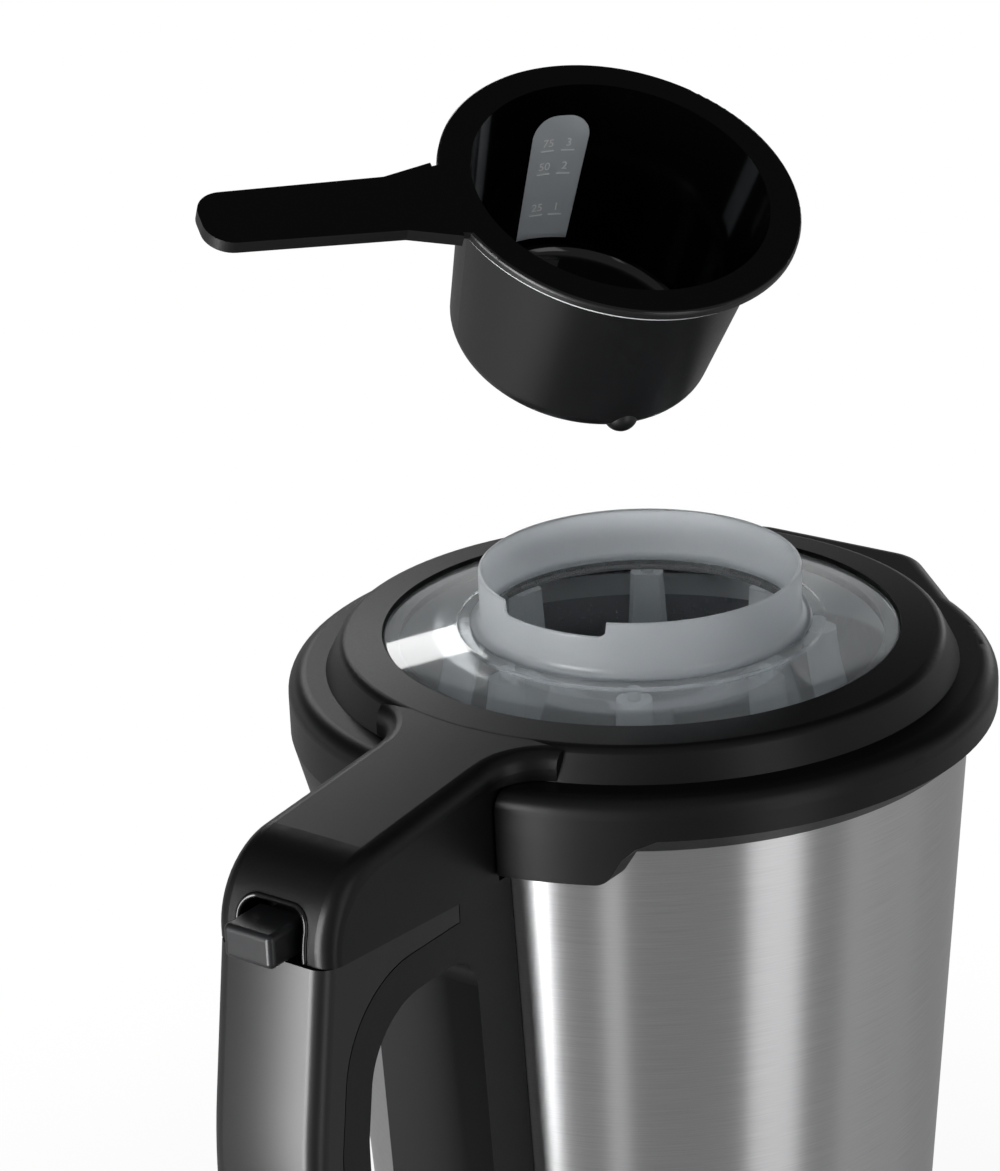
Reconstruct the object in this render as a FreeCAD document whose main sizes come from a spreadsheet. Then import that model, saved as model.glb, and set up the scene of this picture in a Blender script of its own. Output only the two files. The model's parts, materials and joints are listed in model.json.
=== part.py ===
"""Jug soup maker: a heated steel jug with a blade in its floor, a lifting lid with a
filler neck, and a measuring cup that closes the neck.

+Z is up and the origin is on the jug's axis, in the plane that its feet stand on.
The handle is on +X, the pouring lip on -X, the control panel on -Y and the mains
inlet on +Y. At rest the cup is held above the neck, turned and tilted.
"""

import FreeCAD
import Part
import Sketcher
import math
import os

# Driving sizes, in millimetres and degrees. Each is written once, here.
SIZES = {
    # Heights, from the table up
    "foot_height": 4.0,
    "base_height": 70.0,
    "shell_height": 203.0,
    "collar_height": 15.5,
    "neck_rise": 25.5,
    "arm_drop": 4.6,
    "arm_tilt": 4.8,
    # Base housing, its floor and its feet
    "base_foot_radius": 82.0,
    "base_ledge": 1.4,
    "base_skirt_height": 8.0,
    "base_wall": 2.8,
    "base_shelf": 3.0,
    "spigot_height": 6.0,
    "spigot_wall": 2.6,
    "floor_thickness": 3.0,
    "floor_hole_radius": 14.0,
    "vent_width": 3.6,
    "vent_start": 24.0,
    "vent_end": 46.0,
    "vent_count": 16.0,
    "foot_radius": 8.0,
    "foot_inset": 24.0,
    "foot_stem_radius": 3.0,
    "foot_stem_length": 4.5,
    "boss_radius": 4.6,
    "boss_height": 20.0,
    "base_screw_radius": 1.6,
    "base_screw_length": 13.0,
    "base_screw_head_radius": 3.0,
    "base_screw_head": 1.6,
    # Control panel in the base
    "panel_width": 66.0,
    "panel_height": 42.0,
    "panel_rise": 3.0,
    "panel_proud": 0.6,
    "panel_skin": 2.4,
    "panel_tray_inset": 4.6,
    "button_radius": 4.4,
    "button_drop": 10.0,
    "button_pitch": 9.0,
    "button_proud": 1.6,
    "button_flange_radius": 5.4,
    "button_flange": 1.6,
    "button_travel": 1.4,
    "mat_thickness": 1.6,
    "display_width": 44.0,
    "display_height": 13.0,
    "display_rise": 9.0,
    "display_thickness": 2.0,
    # Mains inlet at the back of the base
    "inlet_width": 27.0,
    "inlet_height": 20.0,
    "inlet_depth": 24.0,
    "inlet_rise": 30.0,
    "inlet_proud": 1.4,
    "inlet_wall": 2.4,
    "inlet_socket_depth": 17.0,
    "inlet_pin_width": 4.0,
    "inlet_pin_thickness": 2.0,
    "inlet_pin_length": 14.0,
    "inlet_pin_pitch": 7.0,
    "inlet_earth_rise": 4.0,
    # Control board
    "board_width": 62.0,
    "board_height": 52.0,
    "board_thickness": 1.6,
    "board_setback": 16.6,
    "relay_place": -18.0,
    "relay_rise": 8.0,
    "relay_width": 16.0,
    "relay_depth": 9.0,
    "relay_height": 14.0,
    "transformer_place": 14.0,
    "transformer_rise": 6.0,
    "transformer_width": 20.0,
    "transformer_depth": 10.0,
    "transformer_height": 18.0,
    "capacitor_place": 1.0,
    "capacitor_rise": 30.0,
    "capacitor_width": 14.0,
    "capacitor_depth": 8.0,
    "capacitor_height": 12.0,
    # Steel shell and inner pot
    "shell_bottom_radius": 73.8,
    "shell_top_radius": 86.2,
    "shell_wall": 1.0,
    "shell_tuck": 6.0,
    "pot_floor_rise": 26.0,
    "pot_floor_radius": 63.0,
    "pot_mouth_inset": 7.2,
    "pot_wall": 1.0,
    "pot_corner": 9.0,
    "pot_flange_inset": 2.4,
    # Collar round the mouth
    "collar_overhang": 7.3,
    "collar_bore_gap": 1.7,
    "collar_band": 10.5,
    "collar_foot_wall": 1.6,
    "collar_top_round": 5.0,
    "collar_ledge": 7.3,
    "lip_sink": 0.3,
    "lip_reach": 9.5,
    "lip_front": 26.0,
    "lip_corner": 14.0,
    "lip_flank_run": 32.5,
    "lip_height": 11.0,
    "lip_bottom_round": 4.0,
    "near_skirt_wall": 6.0,
    "near_skirt_drop": 11.8,
    "near_skirt_draw": 0.3,
    "near_skirt_low": 43.5,
    "near_skirt_flank": 3.7,
    "near_skirt_flank_rise": 6.8,
    "near_skirt_turn": 6.5,
    "near_skirt_turn_rise": 9.7,
    "near_skirt_high": 11.0,
    "far_skirt_wall": 2.0,
    "far_skirt_drop": 20.0,
    "far_skirt_draw": 5.2,
    "far_skirt_low": 74.0,
    "far_skirt_high": 80.0,
    "skirt_round": 4.0,
    # Lid frame: ring and arm
    "ring_overlap": 2.7,
    "ring_shoulder_run": 4.1,
    "ring_shoulder_round": 3.0,
    "ring_lip_rise": 9.0,
    "ring_table_width": 11.3,
    "ring_wall": 3.7,
    "ring_roof": 3.0,
    "window_edge_rise": 7.9,
    "window_step_run": 6.1,
    "window_step_rise": 10.8,
    "window_thickness": 3.0,
    "window_ledge": 5.0,
    "lid_plug_drop": 6.0,
    "lid_fit": 0.5,
    "seal_drop": 6.5,
    "seal_wall": 3.6,
    "arm_length": 66.0,
    "arm_half_width": 17.5,
    "arm_root_inset": 4.0,
    "arm_end_rise": 1.2,
    "arm_end_round": 21.0,
    "arm_edge_round": 4.6,
    "arm_sink": 0.05,
    "arm_blend_round": 15.0,
    "arm_blend_lift": 0.2,
    "arm_wall": 2.6,
    "arm_nose": 18.2,
    "arm_cover": 2.4,
    "arm_boss_radius": 3.7,
    "arm_screw_start": 7.3,
    "arm_screw_gap": 5.2,
    "arm_inset": 3.3,
    "slot_fit": 0.5,
    "arm_notch_width": 20.0,
    "arm_notch_height": 12.8,
    "arm_notch_depth": 11.0,
    "arm_notch_round": 5.0,
    # Latch button in the arm
    "latch_width": 14.6,
    "latch_height": 9.7,
    "latch_lift": 1.0,
    "latch_proud": 8.5,
    "latch_depth": 13.0,
    "latch_round": 1.6,
    "latch_stem_width": 11.0,
    "latch_stem_height": 5.0,
    "latch_stem_tail": 11.0,
    "latch_hook_depth": 7.0,
    "latch_hook_thickness": 3.4,
    "latch_travel": 3.5,
    "latch_gap": 0.3,
    "spring_strip": 0.5,
    "spring_length": 8.0,
    "spring_half_width": 5.0,
    "spring_height": 4.0,
    "spring_rib": 1.8,
    # Filler neck and the guard under the window
    "neck_radius": 42.3,
    "neck_wall": 1.0,
    "neck_flare": 2.7,
    "neck_base_height": 2.2,
    "notch_width": 32.0,
    "notch_depth": 4.0,
    "notch_round": 2.4,
    "post_offset": 4.1,
    "post_count": 8.0,
    "post_first_angle": 31.5,
    "post_top_radius": 4.5,
    "post_foot_radius": 6.2,
    "post_top_drop": 20.0,
    "post_height": 30.0,
    "post_pin_radius": 1.8,
    "guard_gap": 1.1,
    "guard_width": 7.6,
    "guard_thickness": 2.6,
    # Handle
    "grip_step": 1.0,
    "grip_lean": 8.6,
    "grip_lean_drop": 50.4,
    "grip_belly_round": 150.0,
    "grip_half_width": 16.5,
    "grip_edge_round": 4.4,
    "grip_depth": 20.5,
    "grip_foot_rise": 8.0,
    "grip_corner_round": 30.0,
    "grip_wall": 2.6,
    "grip_top_wall": 4.2,
    "bridge_thickness": 19.4,
    "lower_bridge_thickness": 34.0,
    "opening_round": 21.0,
    "opening_inner_round": 11.0,
    "spine_depth": 15.0,
    "liner_thickness": 10.0,
    "liner_round": 27.0,
    "seam_gap": 0.3,
    "parting_gap": 0.3,
    "shell_fit": 0.2,
    "handle_screw_radius": 2.0,
    "handle_screw_length": 30.0,
    "handle_screw_head_radius": 3.6,
    "handle_screw_head": 2.4,
    "handle_screw_inset": 34.0,
    "handle_screw_pitch": 14.0,
    "spine_screw_radius": 2.0,
    "spine_screw_length": 8.0,
    "spine_screw_head_radius": 3.8,
    "spine_screw_head": 1.8,
    "spine_screw_rise": 48.0,
    "spine_screw_drop": 31.6,
    # Lid interlock in the handle
    "plunger_radius": 2.0,
    "plunger_across": 11.4,
    "plunger_inset": 6.4,
    "plunger_length": 8.0,
    "plunger_fit": 0.15,
    "switch_height": 12.0,
    "switch_width": 20.0,
    "switch_depth": 6.4,
    # Heater under the pot
    "plate_margin": 18.0,
    "plate_thickness": 4.0,
    "element_radius": 3.4,
    "element_sweep": 300.0,
    "element_tail": 8.0,
    "cutout_radius": 8.0,
    "cutout_height": 6.0,
    "heater_gap": 2.0,
    # Shaft carrier through the pot's floor
    "carrier_radius": 9.0,
    "carrier_flange_radius": 16.0,
    "carrier_flange": 2.5,
    "carrier_length": 20.0,
    "carrier_wall": 2.5,
    "gasket_thickness": 1.4,
    "nut_radius": 16.0,
    "nut_height": 5.0,
    "bush_length": 7.0,
    "shaft_seal_height": 3.0,
    # Motor
    "deck_thickness": 3.0,
    "deck_hole_radius": 13.0,
    "mount_height": 4.0,
    "mount_radius": 6.0,
    "mount_inset": 8.0,
    "motor_radius": 34.0,
    "stator_wall": 13.6,
    "motor_room": 40.0,
    "bracket_thickness": 3.0,
    "bracket_rim": 9.0,
    "bracket_rim_wall": 2.5,
    "winding_inset": 3.6,
    "winding_height": 5.5,
    "bearing_radius": 8.0,
    "bearing_length": 6.0,
    "shaft_radius": 4.0,
    "shaft_play": 0.05,
    "armature_gap": 0.6,
    "commutator_radius": 9.5,
    "commutator_height": 5.0,
    "brush_width": 6.0,
    "brush_length": 12.0,
    "fan_inset": 5.0,
    "fan_height": 6.0,
    "fan_blades": 10.0,
    "fan_blade_thickness": 1.4,
    "fan_hub_radius": 8.0,
    "fan_web": 1.6,
    "fan_clearance": 2.0,
    "shaft_tail": 3.0,
    # Blade set
    "shoulder_radius": 7.0,
    "shoulder_height": 5.0,
    "blade_reach": 26.0,
    "blade_flat": 13.0,
    "blade_width": 12.0,
    "blade_thickness": 1.6,
    "blade_upturn": 8.0,
    "blade_downturn": 4.0,
    "blade_nut_radius": 7.4,
    "blade_nut_height": 6.0,
    # Measuring cup
    "cup_flange_overlap": 2.7,
    "cup_flange": 2.0,
    "cup_flange_round": 0.9,
    "cup_entry": 2.5,
    "cup_draft": 6.0,
    "cup_depth": 52.0,
    "cup_wall": 2.0,
    "cup_foot_round": 6.0,
    "cup_handle_reach": 106.0,
    "cup_handle_root": 13.0,
    "cup_handle_neck": 9.4,
    "cup_handle_neck_place": 58.0,
    "cup_handle_tip": 8.6,
    "cup_handle_corner": 6.9,
    "cup_handle_thickness": 3.2,
    "cup_nub_radius": 6.0,
    "cup_nub_drop": 5.4,
    "cup_nub_place": 51.2,
    "strip_angle": 25.0,
    "strip_top": 9.0,
    "strip_bottom": 46.0,
    "strip_round": 6.2,
    "strip_fit_angle": 0.3,
    "cup_stud_radius": 4.4,
    "cup_stud_place": 30.0,
    "cup_stud_rise": 3.5,
    "cup_seal_thickness": 1.0,
    "cup_seal_inset": 0.8,
    "cup_seal_fit": 0.3,
    # Where the cup is held at rest: the turn in its seal, then the lift on an arc
    "cup_turn_angle": -37.559,
    "cup_lift_angle": 29.221,
    "cup_axis_azimuth": 150.89,
    "cup_axis_rise": 8.784,
    "cup_pivot_x": 108.124,
    "cup_pivot_y": 193.791,
    "cup_pivot_rise": 4.232,
    # General clearance between pieces that are fitted together
    "fit": 0.2,
    # How far a cutting tool runs past the face that it opens
    "overrun": 2.0,
}


class Size:
    """A length or an angle: the formula that the sheet holds for it, and its value."""

    def __init__(self, text, value):
        self.text = text
        self.value = value

    def joined(self, sign, other, value):
        return Size("(%s %s %s)" % (self.text, sign, other.text), value)

    def __add__(self, other):
        other = as_size(other)
        return self.joined("+", other, self.value + other.value)

    def __sub__(self, other):
        other = as_size(other)
        return self.joined("-", other, self.value - other.value)

    def __mul__(self, other):
        other = as_size(other)
        return self.joined("*", other, self.value * other.value)

    def __truediv__(self, other):
        other = as_size(other)
        return self.joined("/", other, self.value / other.value)

    def __neg__(self):
        return Size("(-1 * %s)" % self.text, -self.value)

    __radd__ = __add__
    __rmul__ = __mul__

    def __rsub__(self, other):
        return as_size(other) - self


def as_size(value):
    return value if isinstance(value, Size) else Size("%.6f" % value, float(value))


def cosine(angle):
    return Size("cos(%s * 1 deg)" % angle.text, math.cos(math.radians(angle.value)))


def sine(angle):
    return Size("sin(%s * 1 deg)" % angle.text, math.sin(math.radians(angle.value)))


def root(square):
    return Size("sqrt(%s)" % square.text, math.sqrt(square.value))


document = FreeCAD.newDocument("soup_maker")
sheet = document.addObject("Spreadsheet::Sheet", "Sizes")
for row, (size_name, number) in enumerate(SIZES.items(), start=1):
    sheet.set("A%d" % row, size_name)
    sheet.set("B%d" % row, repr(number))
    sheet.setAlias("B%d" % row, size_name)
document.recompute()


class Names:
    """The sheet's sizes by name."""

    def __getattr__(self, name):
        return Size("Sizes." + name, float(sheet.get(name)))


size = Names()
NODES = []


def node(part, label):
    """Marks a document object as a finished piece and gives it its name."""
    part.Label = label
    NODES.append(part)
    return part


def bind(part, **sizes):
    """Binds a piece's properties to formulas; a double underscore stands for a dot."""
    for name, value in sizes.items():
        part.setExpression(name.replace("__", "."), as_size(value).text)
    return part


def box(x, y, z, length, width, height):
    """A block from its lowest corner and its three sides."""
    part = document.addObject("Part::Box", "block")
    return bind(part, Length=length, Width=width, Height=height, Placement__Base__x=x,
                Placement__Base__y=y, Placement__Base__z=z)


def centred_box(x, y, z, length, width, height):
    """A block centred in x and y, standing on z."""
    return box(x - length / 2, y - width / 2, z, length, width, height)


def rod(radius, height, x, y, z):
    """An upright cylinder standing on z."""
    part = document.addObject("Part::Cylinder", "rod")
    return bind(part, Radius=radius, Height=height, Placement__Base__x=x,
                Placement__Base__y=y, Placement__Base__z=z)


def joined(*parts):
    part = document.addObject("Part::MultiFuse", "joined")
    part.Shapes = list(parts)
    return part


def cut(base, *tools):
    part = document.addObject("Part::Cut", "cut")
    part.Base = base
    part.Tool = tools[0] if len(tools) == 1 else joined(*tools)
    return part


def common(first, second):
    part = document.addObject("Part::Common", "shared")
    part.Base = first
    part.Tool = second
    return part


def group(*parts):
    """Separate solids that share one node, such as a set of screws."""
    part = document.addObject("Part::Compound", "group")
    part.Links = list(parts)
    return part


def around(count, first_angle, radius):
    """Places evenly round the jug's axis, as pairs of sizes."""
    places = []
    for index in range(count):
        angle = as_size(first_angle) + 360.0 * index / count
        places.append((radius * cosine(angle), radius * sine(angle)))
    return places


def new_body(name):
    return document.addObject("PartDesign::Body", name)


def outline(body, plane, points, lift=None):
    """A closed sketch of straight sides whose corners are bound to the sheet."""
    sketch = body.newObject("Sketcher::SketchObject", "outline")
    support = [item for item in body.Origin.OriginFeatures if item.Role == plane]
    sketch.AttachmentSupport = [(support[0], "")]
    sketch.MapMode = "FlatFace"
    if lift is not None:
        sketch.setExpression("AttachmentOffset.Base.z", as_size(lift).text)
    corners = [(as_size(across), as_size(up)) for across, up in points]
    count = len(corners)
    for index, (across, up) in enumerate(corners):
        next_across, next_up = corners[(index + 1) % count]
        start = FreeCAD.Vector(across.value, up.value, 0)
        end = FreeCAD.Vector(next_across.value, next_up.value, 0)
        sketch.addGeometry(Part.LineSegment(start, end))
    for index in range(count):
        following = (index + 1) % count
        sketch.addConstraint(Sketcher.Constraint("Coincident", index, 2, following, 1))
    for index, (across, up) in enumerate(corners):
        for kind, place, axis in (("DistanceX", across, -2), ("DistanceY", up, -1)):
            if place.text == "0.000000":
                sketch.addConstraint(Sketcher.Constraint("PointOnObject", index, 1, axis))
                continue
            number = sketch.addConstraint(
                Sketcher.Constraint(kind, -1, 1, index, 1, place.value))
            sketch.setExpression("Constraints[%d]" % number, place.text)
    return sketch


def turn(body, points, kind="Revolution", plane="XZ_Plane", sweep=None):
    """Turns a profile of (radius, height) corners about the upright axis."""
    sketch = outline(body, plane, points)
    feature = body.newObject("PartDesign::" + kind, "turned")
    feature.Profile = sketch
    feature.ReferenceAxis = (sketch, ["V_Axis"])
    feature.Angle = 360.0
    if sweep is not None:
        feature.Midplane = True
        bind(feature, Angle=sweep)
    document.recompute()
    return feature


def turned(name, points):
    body = new_body(name)
    turn(body, points)
    return body


def pad(body, plane, points, length, kind="Pad", lift=None, both_ways=True):
    """Raises or cuts an outline by a length, by default half to each side of its plane."""
    sketch = outline(body, plane, points, lift)
    feature = body.newObject("PartDesign::" + kind, "raised")
    feature.Profile = sketch
    feature.SideType = "Symmetric" if both_ways else "One side"
    bind(feature, Length=length)
    document.recompute()
    return feature


def padded(name, plane, points, length, lift=None, both_ways=True):
    body = new_body(name)
    pad(body, plane, points, length, lift=lift, both_ways=both_ways)
    return body


def middle(edge):
    return edge.valueAt((edge.FirstParameter + edge.LastParameter) / 2)


def rounded(body, radius, wanted):
    """Rounds the edges of a body for which wanted(middle point, edge) is true."""
    document.recompute()
    tip = body.Tip
    names = []
    for number, edge in enumerate(tip.Shape.Edges, start=1):
        if wanted(middle(edge), edge):
            names.append("Edge%d" % number)
    feature = body.newObject("PartDesign::Fillet", "rounded")
    feature.Base = (tip, names)
    bind(feature, Radius=radius)
    document.recompute()
    return feature


def close(value, target, margin=0.05):
    return abs(value - as_size(target).value) < margin


def hoop(radius, height):
    """A test for the round edge of a given radius at a given height."""

    def wanted(point, edge):
        return close(math.hypot(point.x, point.y), radius) and close(point.z, height)

    return wanted


# Levels, from the table up, and radii, from the shell outwards and inwards
base_bottom = size.foot_height
base_top = base_bottom + size.base_height
collar_bottom = base_top + size.shell_height
collar_top = collar_bottom + size.collar_height
neck_rim = collar_top + size.neck_rise
parting = collar_bottom - size.arm_drop
parting_inner = parting - size.arm_tilt
ledge = collar_top - size.collar_ledge
plug_bottom = collar_top - size.lid_plug_drop
panel_level = base_bottom + size.base_height / 2 + size.panel_rise
button_level = panel_level - size.button_drop
display_level = panel_level + size.display_rise
inlet_level = base_bottom + size.inlet_rise
pot_floor_level = base_top + size.pot_floor_rise
grip_bottom_level = base_top + size.grip_foot_rise
grip_belly_level = parting - size.grip_lean_drop
spine_screw_low = grip_bottom_level + size.spine_screw_rise
spine_screw_high = parting_inner - size.spine_screw_drop
base_top_radius = size.shell_bottom_radius + size.base_ledge
boss_circle = size.base_foot_radius - size.base_wall - size.boss_radius
foot_circle = size.base_foot_radius - size.foot_inset
pot_mouth_radius = size.shell_top_radius - size.pot_mouth_inset
pot_flange_radius = size.shell_top_radius - size.pot_flange_inset
collar_radius = size.shell_top_radius + size.collar_overhang
collar_bore_radius = pot_mouth_radius + size.collar_bore_gap
ring_foot_radius = collar_bore_radius + size.ring_overlap
ring_shoulder_radius = ring_foot_radius - size.ring_shoulder_run
window_radius = ring_shoulder_radius - size.ring_table_width
arm_inner_face = collar_radius - size.arm_inset
arm_reach = arm_inner_face + size.arm_length
grip_belly = arm_reach + size.grip_lean


def shell_radius(level):
    """Outer radius of the tapered steel shell at a level."""
    slope = (size.shell_top_radius - size.shell_bottom_radius) / size.shell_height
    return size.shell_bottom_radius + slope * (level - base_top)


def parting_at(x):
    """Level of the slightly tilted face between the lid's arm and the handle."""
    slope = size.arm_tilt / (arm_reach - arm_inner_face)
    return parting - slope * (arm_reach - x)


def base_radius(level):
    """Outer radius of the tapered base housing at a level above its skirt."""
    skirt_top = base_bottom + size.base_skirt_height
    slope = (base_top_radius - size.base_foot_radius) / (base_top - skirt_top)
    return size.base_foot_radius + slope * (level - skirt_top)


def front_block(width, bottom, height):
    """A block through the front of the base, of a panel's outline."""
    return box(-width / 2, -size.base_foot_radius - size.overrun, bottom, width,
               size.base_foot_radius, height)


# Base housing: moulded black shell with a spigot that the steel shell slips over,
# bosses for the floor's screws, a window for the panel and one for the inlet
skirt_top = base_bottom + size.base_skirt_height
spigot_radius = size.shell_bottom_radius - size.shell_wall - size.fit
spigot_inner = spigot_radius - size.spigot_wall
shelf_under = base_top - size.base_shelf
housing_shell = turned("housing_shell", [
    (size.base_foot_radius, base_bottom),
    (size.base_foot_radius, skirt_top),
    (base_top_radius, base_top),
    (spigot_radius, base_top),
    (spigot_radius, base_top + size.spigot_height),
    (spigot_inner, base_top + size.spigot_height),
    (spigot_inner, shelf_under),
    (base_radius(shelf_under) - size.base_wall, shelf_under),
    (size.base_foot_radius - size.base_wall, skirt_top),
    (size.base_foot_radius - size.base_wall, base_bottom),
])
floor_top = base_bottom + size.floor_thickness
screw_places = around(4, 45.0, boss_circle)
bosses = [rod(size.boss_radius, size.boss_height, x, y, floor_top) for x, y in screw_places]
boss_holes = [rod(size.base_screw_radius, size.base_screw_length, x, y, base_bottom)
              for x, y in screw_places]
panel_bottom = panel_level - size.panel_height / 2
window_cut = front_block(size.panel_width, panel_bottom - size.fit, size.panel_height + size.fit * 2)
inlet_bottom = inlet_level - size.inlet_height / 2
inlet_hole = box(-size.inlet_width / 2, size.base_foot_radius / 2, inlet_bottom - size.fit,
                 size.inlet_width, size.base_foot_radius, size.inlet_height + size.fit * 2)
node(cut(joined(housing_shell, *bosses), window_cut, inlet_hole, *boss_holes), "base_housing")

# Base floor: screwed plate with a ring of vents, holes for the screws and the feet's stems
floor_radius = size.base_foot_radius - size.base_wall - size.fit
floor_disc = turned("floor_disc", [
    (size.floor_hole_radius, base_bottom),
    (floor_radius, base_bottom),
    (floor_radius, floor_top),
    (size.floor_hole_radius, floor_top),
])
vent = pad(floor_disc, "XY_Plane", [
    (size.vent_start, -size.vent_width / 2),
    (size.vent_end, -size.vent_width / 2),
    (size.vent_end, size.vent_width / 2),
    (size.vent_start, size.vent_width / 2),
], size.floor_thickness * 6, kind="Pocket")
vents = floor_disc.newObject("PartDesign::PolarPattern", "vents")
vents.Originals = [vent]
vents.Axis = (vent.Profile[0], ["N_Axis"])
vents.Angle = 360.0
bind(vents, Occurrences=size.vent_count)
floor_disc.Tip = vents
foot_places = around(4, 0.0, foot_circle)
foot_holes = [rod(size.foot_stem_radius, size.floor_thickness * 3, x, y, 0) for x, y in foot_places]
screw_holes = [rod(size.base_screw_radius, size.floor_thickness * 3, x, y, 0)
               for x, y in screw_places]
head_recesses = [rod(size.base_screw_head_radius + size.fit, size.base_screw_head, x, y, base_bottom)
                 for x, y in screw_places]
node(cut(floor_disc, *(foot_holes + screw_holes + head_recesses)), "base_floor")

# Rubber feet: pads under the floor with stems pulled through it
feet = []
for x, y in foot_places:
    stem = rod(size.foot_stem_radius, size.foot_stem_length, x, y, base_bottom)
    feet.append(joined(rod(size.foot_radius, size.foot_height, x, y, 0), stem))
node(group(*feet), "rubber_feet")

# Floor screws: four self-tapping screws up into the housing's bosses
screws = []
for x, y in screw_places:
    head = rod(size.base_screw_head_radius, size.base_screw_head, x, y, base_bottom)
    shank = rod(size.base_screw_radius, size.base_screw_length, x, y, base_bottom)
    screws.append(joined(head, shank))
node(group(*screws), "base_screws")


def base_band(inner, proud):
    """A ring that follows the base's taper, from a fixed radius to just past its face."""
    low = panel_bottom - size.panel_height
    high = panel_bottom + size.panel_height * 2
    return turned("base_band", [
        (inner, low),
        (base_radius(low) + proud, low),
        (base_radius(high) + proud, high),
        (inner, high),
    ])


# Control panel: curved tray that follows the housing's taper, with holes for its
# buttons and a window over the lamps
panel_tray_radius = base_top_radius - size.panel_tray_inset
panel_block = common(base_band(panel_tray_radius, size.panel_proud),
                     front_block(size.panel_width, panel_bottom, size.panel_height))
tray_width = size.panel_width - size.panel_skin * 2
tray_height = size.panel_height - size.panel_skin * 2
panel_hollow = common(base_band(panel_tray_radius - size.overrun, -size.panel_skin),
                      front_block(tray_width, panel_bottom + size.panel_skin, tray_height))
display_hole = front_block(size.display_width,
                           display_level - size.display_height / 2 - size.fit,
                           size.display_height + size.fit * 2)
BUTTONS = ["smooth_button", "chunky_button", "keep_warm_button", "blend_button", "start_button"]
face_radius = base_radius(button_level) + size.panel_proud


def button_angle(index):
    return as_size(-90.0) + size.button_pitch * (index - (len(BUTTONS) - 1) / 2)


def radial_rod(name, angle, radius, start, length):
    """A round bar along a radius of the jug, at a level of the panel's buttons."""
    body = new_body(name)
    disc = body.newObject("PartDesign::AdditiveCylinder", "bar")
    disc.Placement = FreeCAD.Placement(FreeCAD.Vector(start.value, 0, 0),
                                       FreeCAD.Rotation(FreeCAD.Vector(0, 1, 0), 90))
    bind(disc, Radius=radius, Height=length, Placement__Base__x=start)
    body.Placement = FreeCAD.Placement(FreeCAD.Vector(0, 0, 0),
                                       FreeCAD.Rotation(FreeCAD.Vector(0, 0, 1), angle.value))
    bind(body, Placement__Base__z=button_level)
    body.setExpression("Placement.Rotation.Angle", "%s * 1 deg" % angle.text)
    return body


button_holes = [radial_rod("button_hole", button_angle(index), size.button_radius + size.fit,
                           panel_tray_radius, size.base_foot_radius / 2)
                for index in range(len(BUTTONS))]
node(cut(panel_block, panel_hollow, display_hole, *button_holes), "control_panel")

# Display window: smoked strip set flush in the panel
display_block = front_block(size.display_width, display_level - size.display_height / 2,
                            size.display_height)
node(common(cut(base_band(panel_tray_radius, size.panel_proud),
                base_band(panel_tray_radius - size.overrun,
                          size.panel_proud - size.display_thickness)),
            display_block), "display_window")

# Push buttons: caps through the panel, each with a flange behind it that keeps it in
flange_outer = (base_radius(button_level + size.button_flange_radius) - size.panel_skin
                - size.fit * 3)
flange_inner = flange_outer - size.button_flange
for index, label in enumerate(BUTTONS):
    body = radial_rod(label, button_angle(index), size.button_radius, flange_inner,
                      face_radius + size.button_proud - flange_inner)
    collar_disc = body.newObject("PartDesign::AdditiveCylinder", "flange")
    collar_disc.Placement = FreeCAD.Placement(FreeCAD.Vector(flange_inner.value, 0, 0),
                                              FreeCAD.Rotation(FreeCAD.Vector(0, 1, 0), 90))
    bind(collar_disc, Radius=size.button_flange_radius, Height=size.button_flange,
         Placement__Base__x=flange_inner)
    node(body, label)

# Button mat: silicone sheet in the tray that pushes the buttons back out
mat_outer = flange_inner - size.button_travel - size.fit
mat_ring = turned("mat_ring", [
    (mat_outer - size.mat_thickness, panel_bottom),
    (mat_outer, panel_bottom),
    (mat_outer, panel_bottom + size.panel_height),
    (mat_outer - size.mat_thickness, panel_bottom + size.panel_height),
])
mat_block = front_block(tray_width, panel_bottom + size.panel_skin + size.fit / 2,
                        tray_height - size.fit)
node(common(mat_ring, mat_block), "button_mat")

# Mains inlet: socket block through the back of the housing, with its three blades
inlet_face = base_radius(inlet_level) + size.inlet_proud
inlet_back = inlet_face - size.inlet_depth
inlet_block = box(-size.inlet_width / 2, inlet_back, inlet_bottom, size.inlet_width,
                  size.inlet_depth, size.inlet_height)
socket_width = size.inlet_width - size.inlet_wall * 2
socket_height = size.inlet_height - size.inlet_wall * 2
socket_floor = inlet_face - size.inlet_socket_depth
socket = box(-socket_width / 2, socket_floor, inlet_bottom + size.inlet_wall, socket_width,
             size.inlet_socket_depth * 2, socket_height)
node(cut(inlet_block, socket), "power_inlet")
pins = []
for step, rise in ((-1, 0), (0, size.inlet_earth_rise), (1, 0)):
    pins.append(centred_box(size.inlet_pin_pitch * step, socket_floor + size.inlet_pin_length / 2,
                            inlet_level - size.inlet_pin_width / 2 + rise,
                            size.inlet_pin_thickness, size.inlet_pin_length, size.inlet_pin_width))
node(group(*pins), "inlet_pins")

# Control board: stands on the base's floor behind the panel, with its parts
board_distance = panel_tray_radius - size.board_setback
node(centred_box(as_size(0), -board_distance, floor_top, size.board_width,
                 size.board_thickness, size.board_height), "control_board")
board_back = -board_distance + size.board_thickness / 2
relay = box(size.relay_place - size.relay_width / 2, board_back, floor_top + size.relay_rise,
            size.relay_width, size.relay_depth, size.relay_height)
transformer = box(size.transformer_place - size.transformer_width / 2, board_back,
                  floor_top + size.transformer_rise, size.transformer_width,
                  size.transformer_depth, size.transformer_height)
capacitor = box(size.capacitor_place - size.capacitor_width / 2, board_back,
                floor_top + size.capacitor_rise, size.capacitor_width, size.capacitor_depth,
                size.capacitor_height)
node(group(relay, transformer, capacitor), "board_components")

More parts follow.
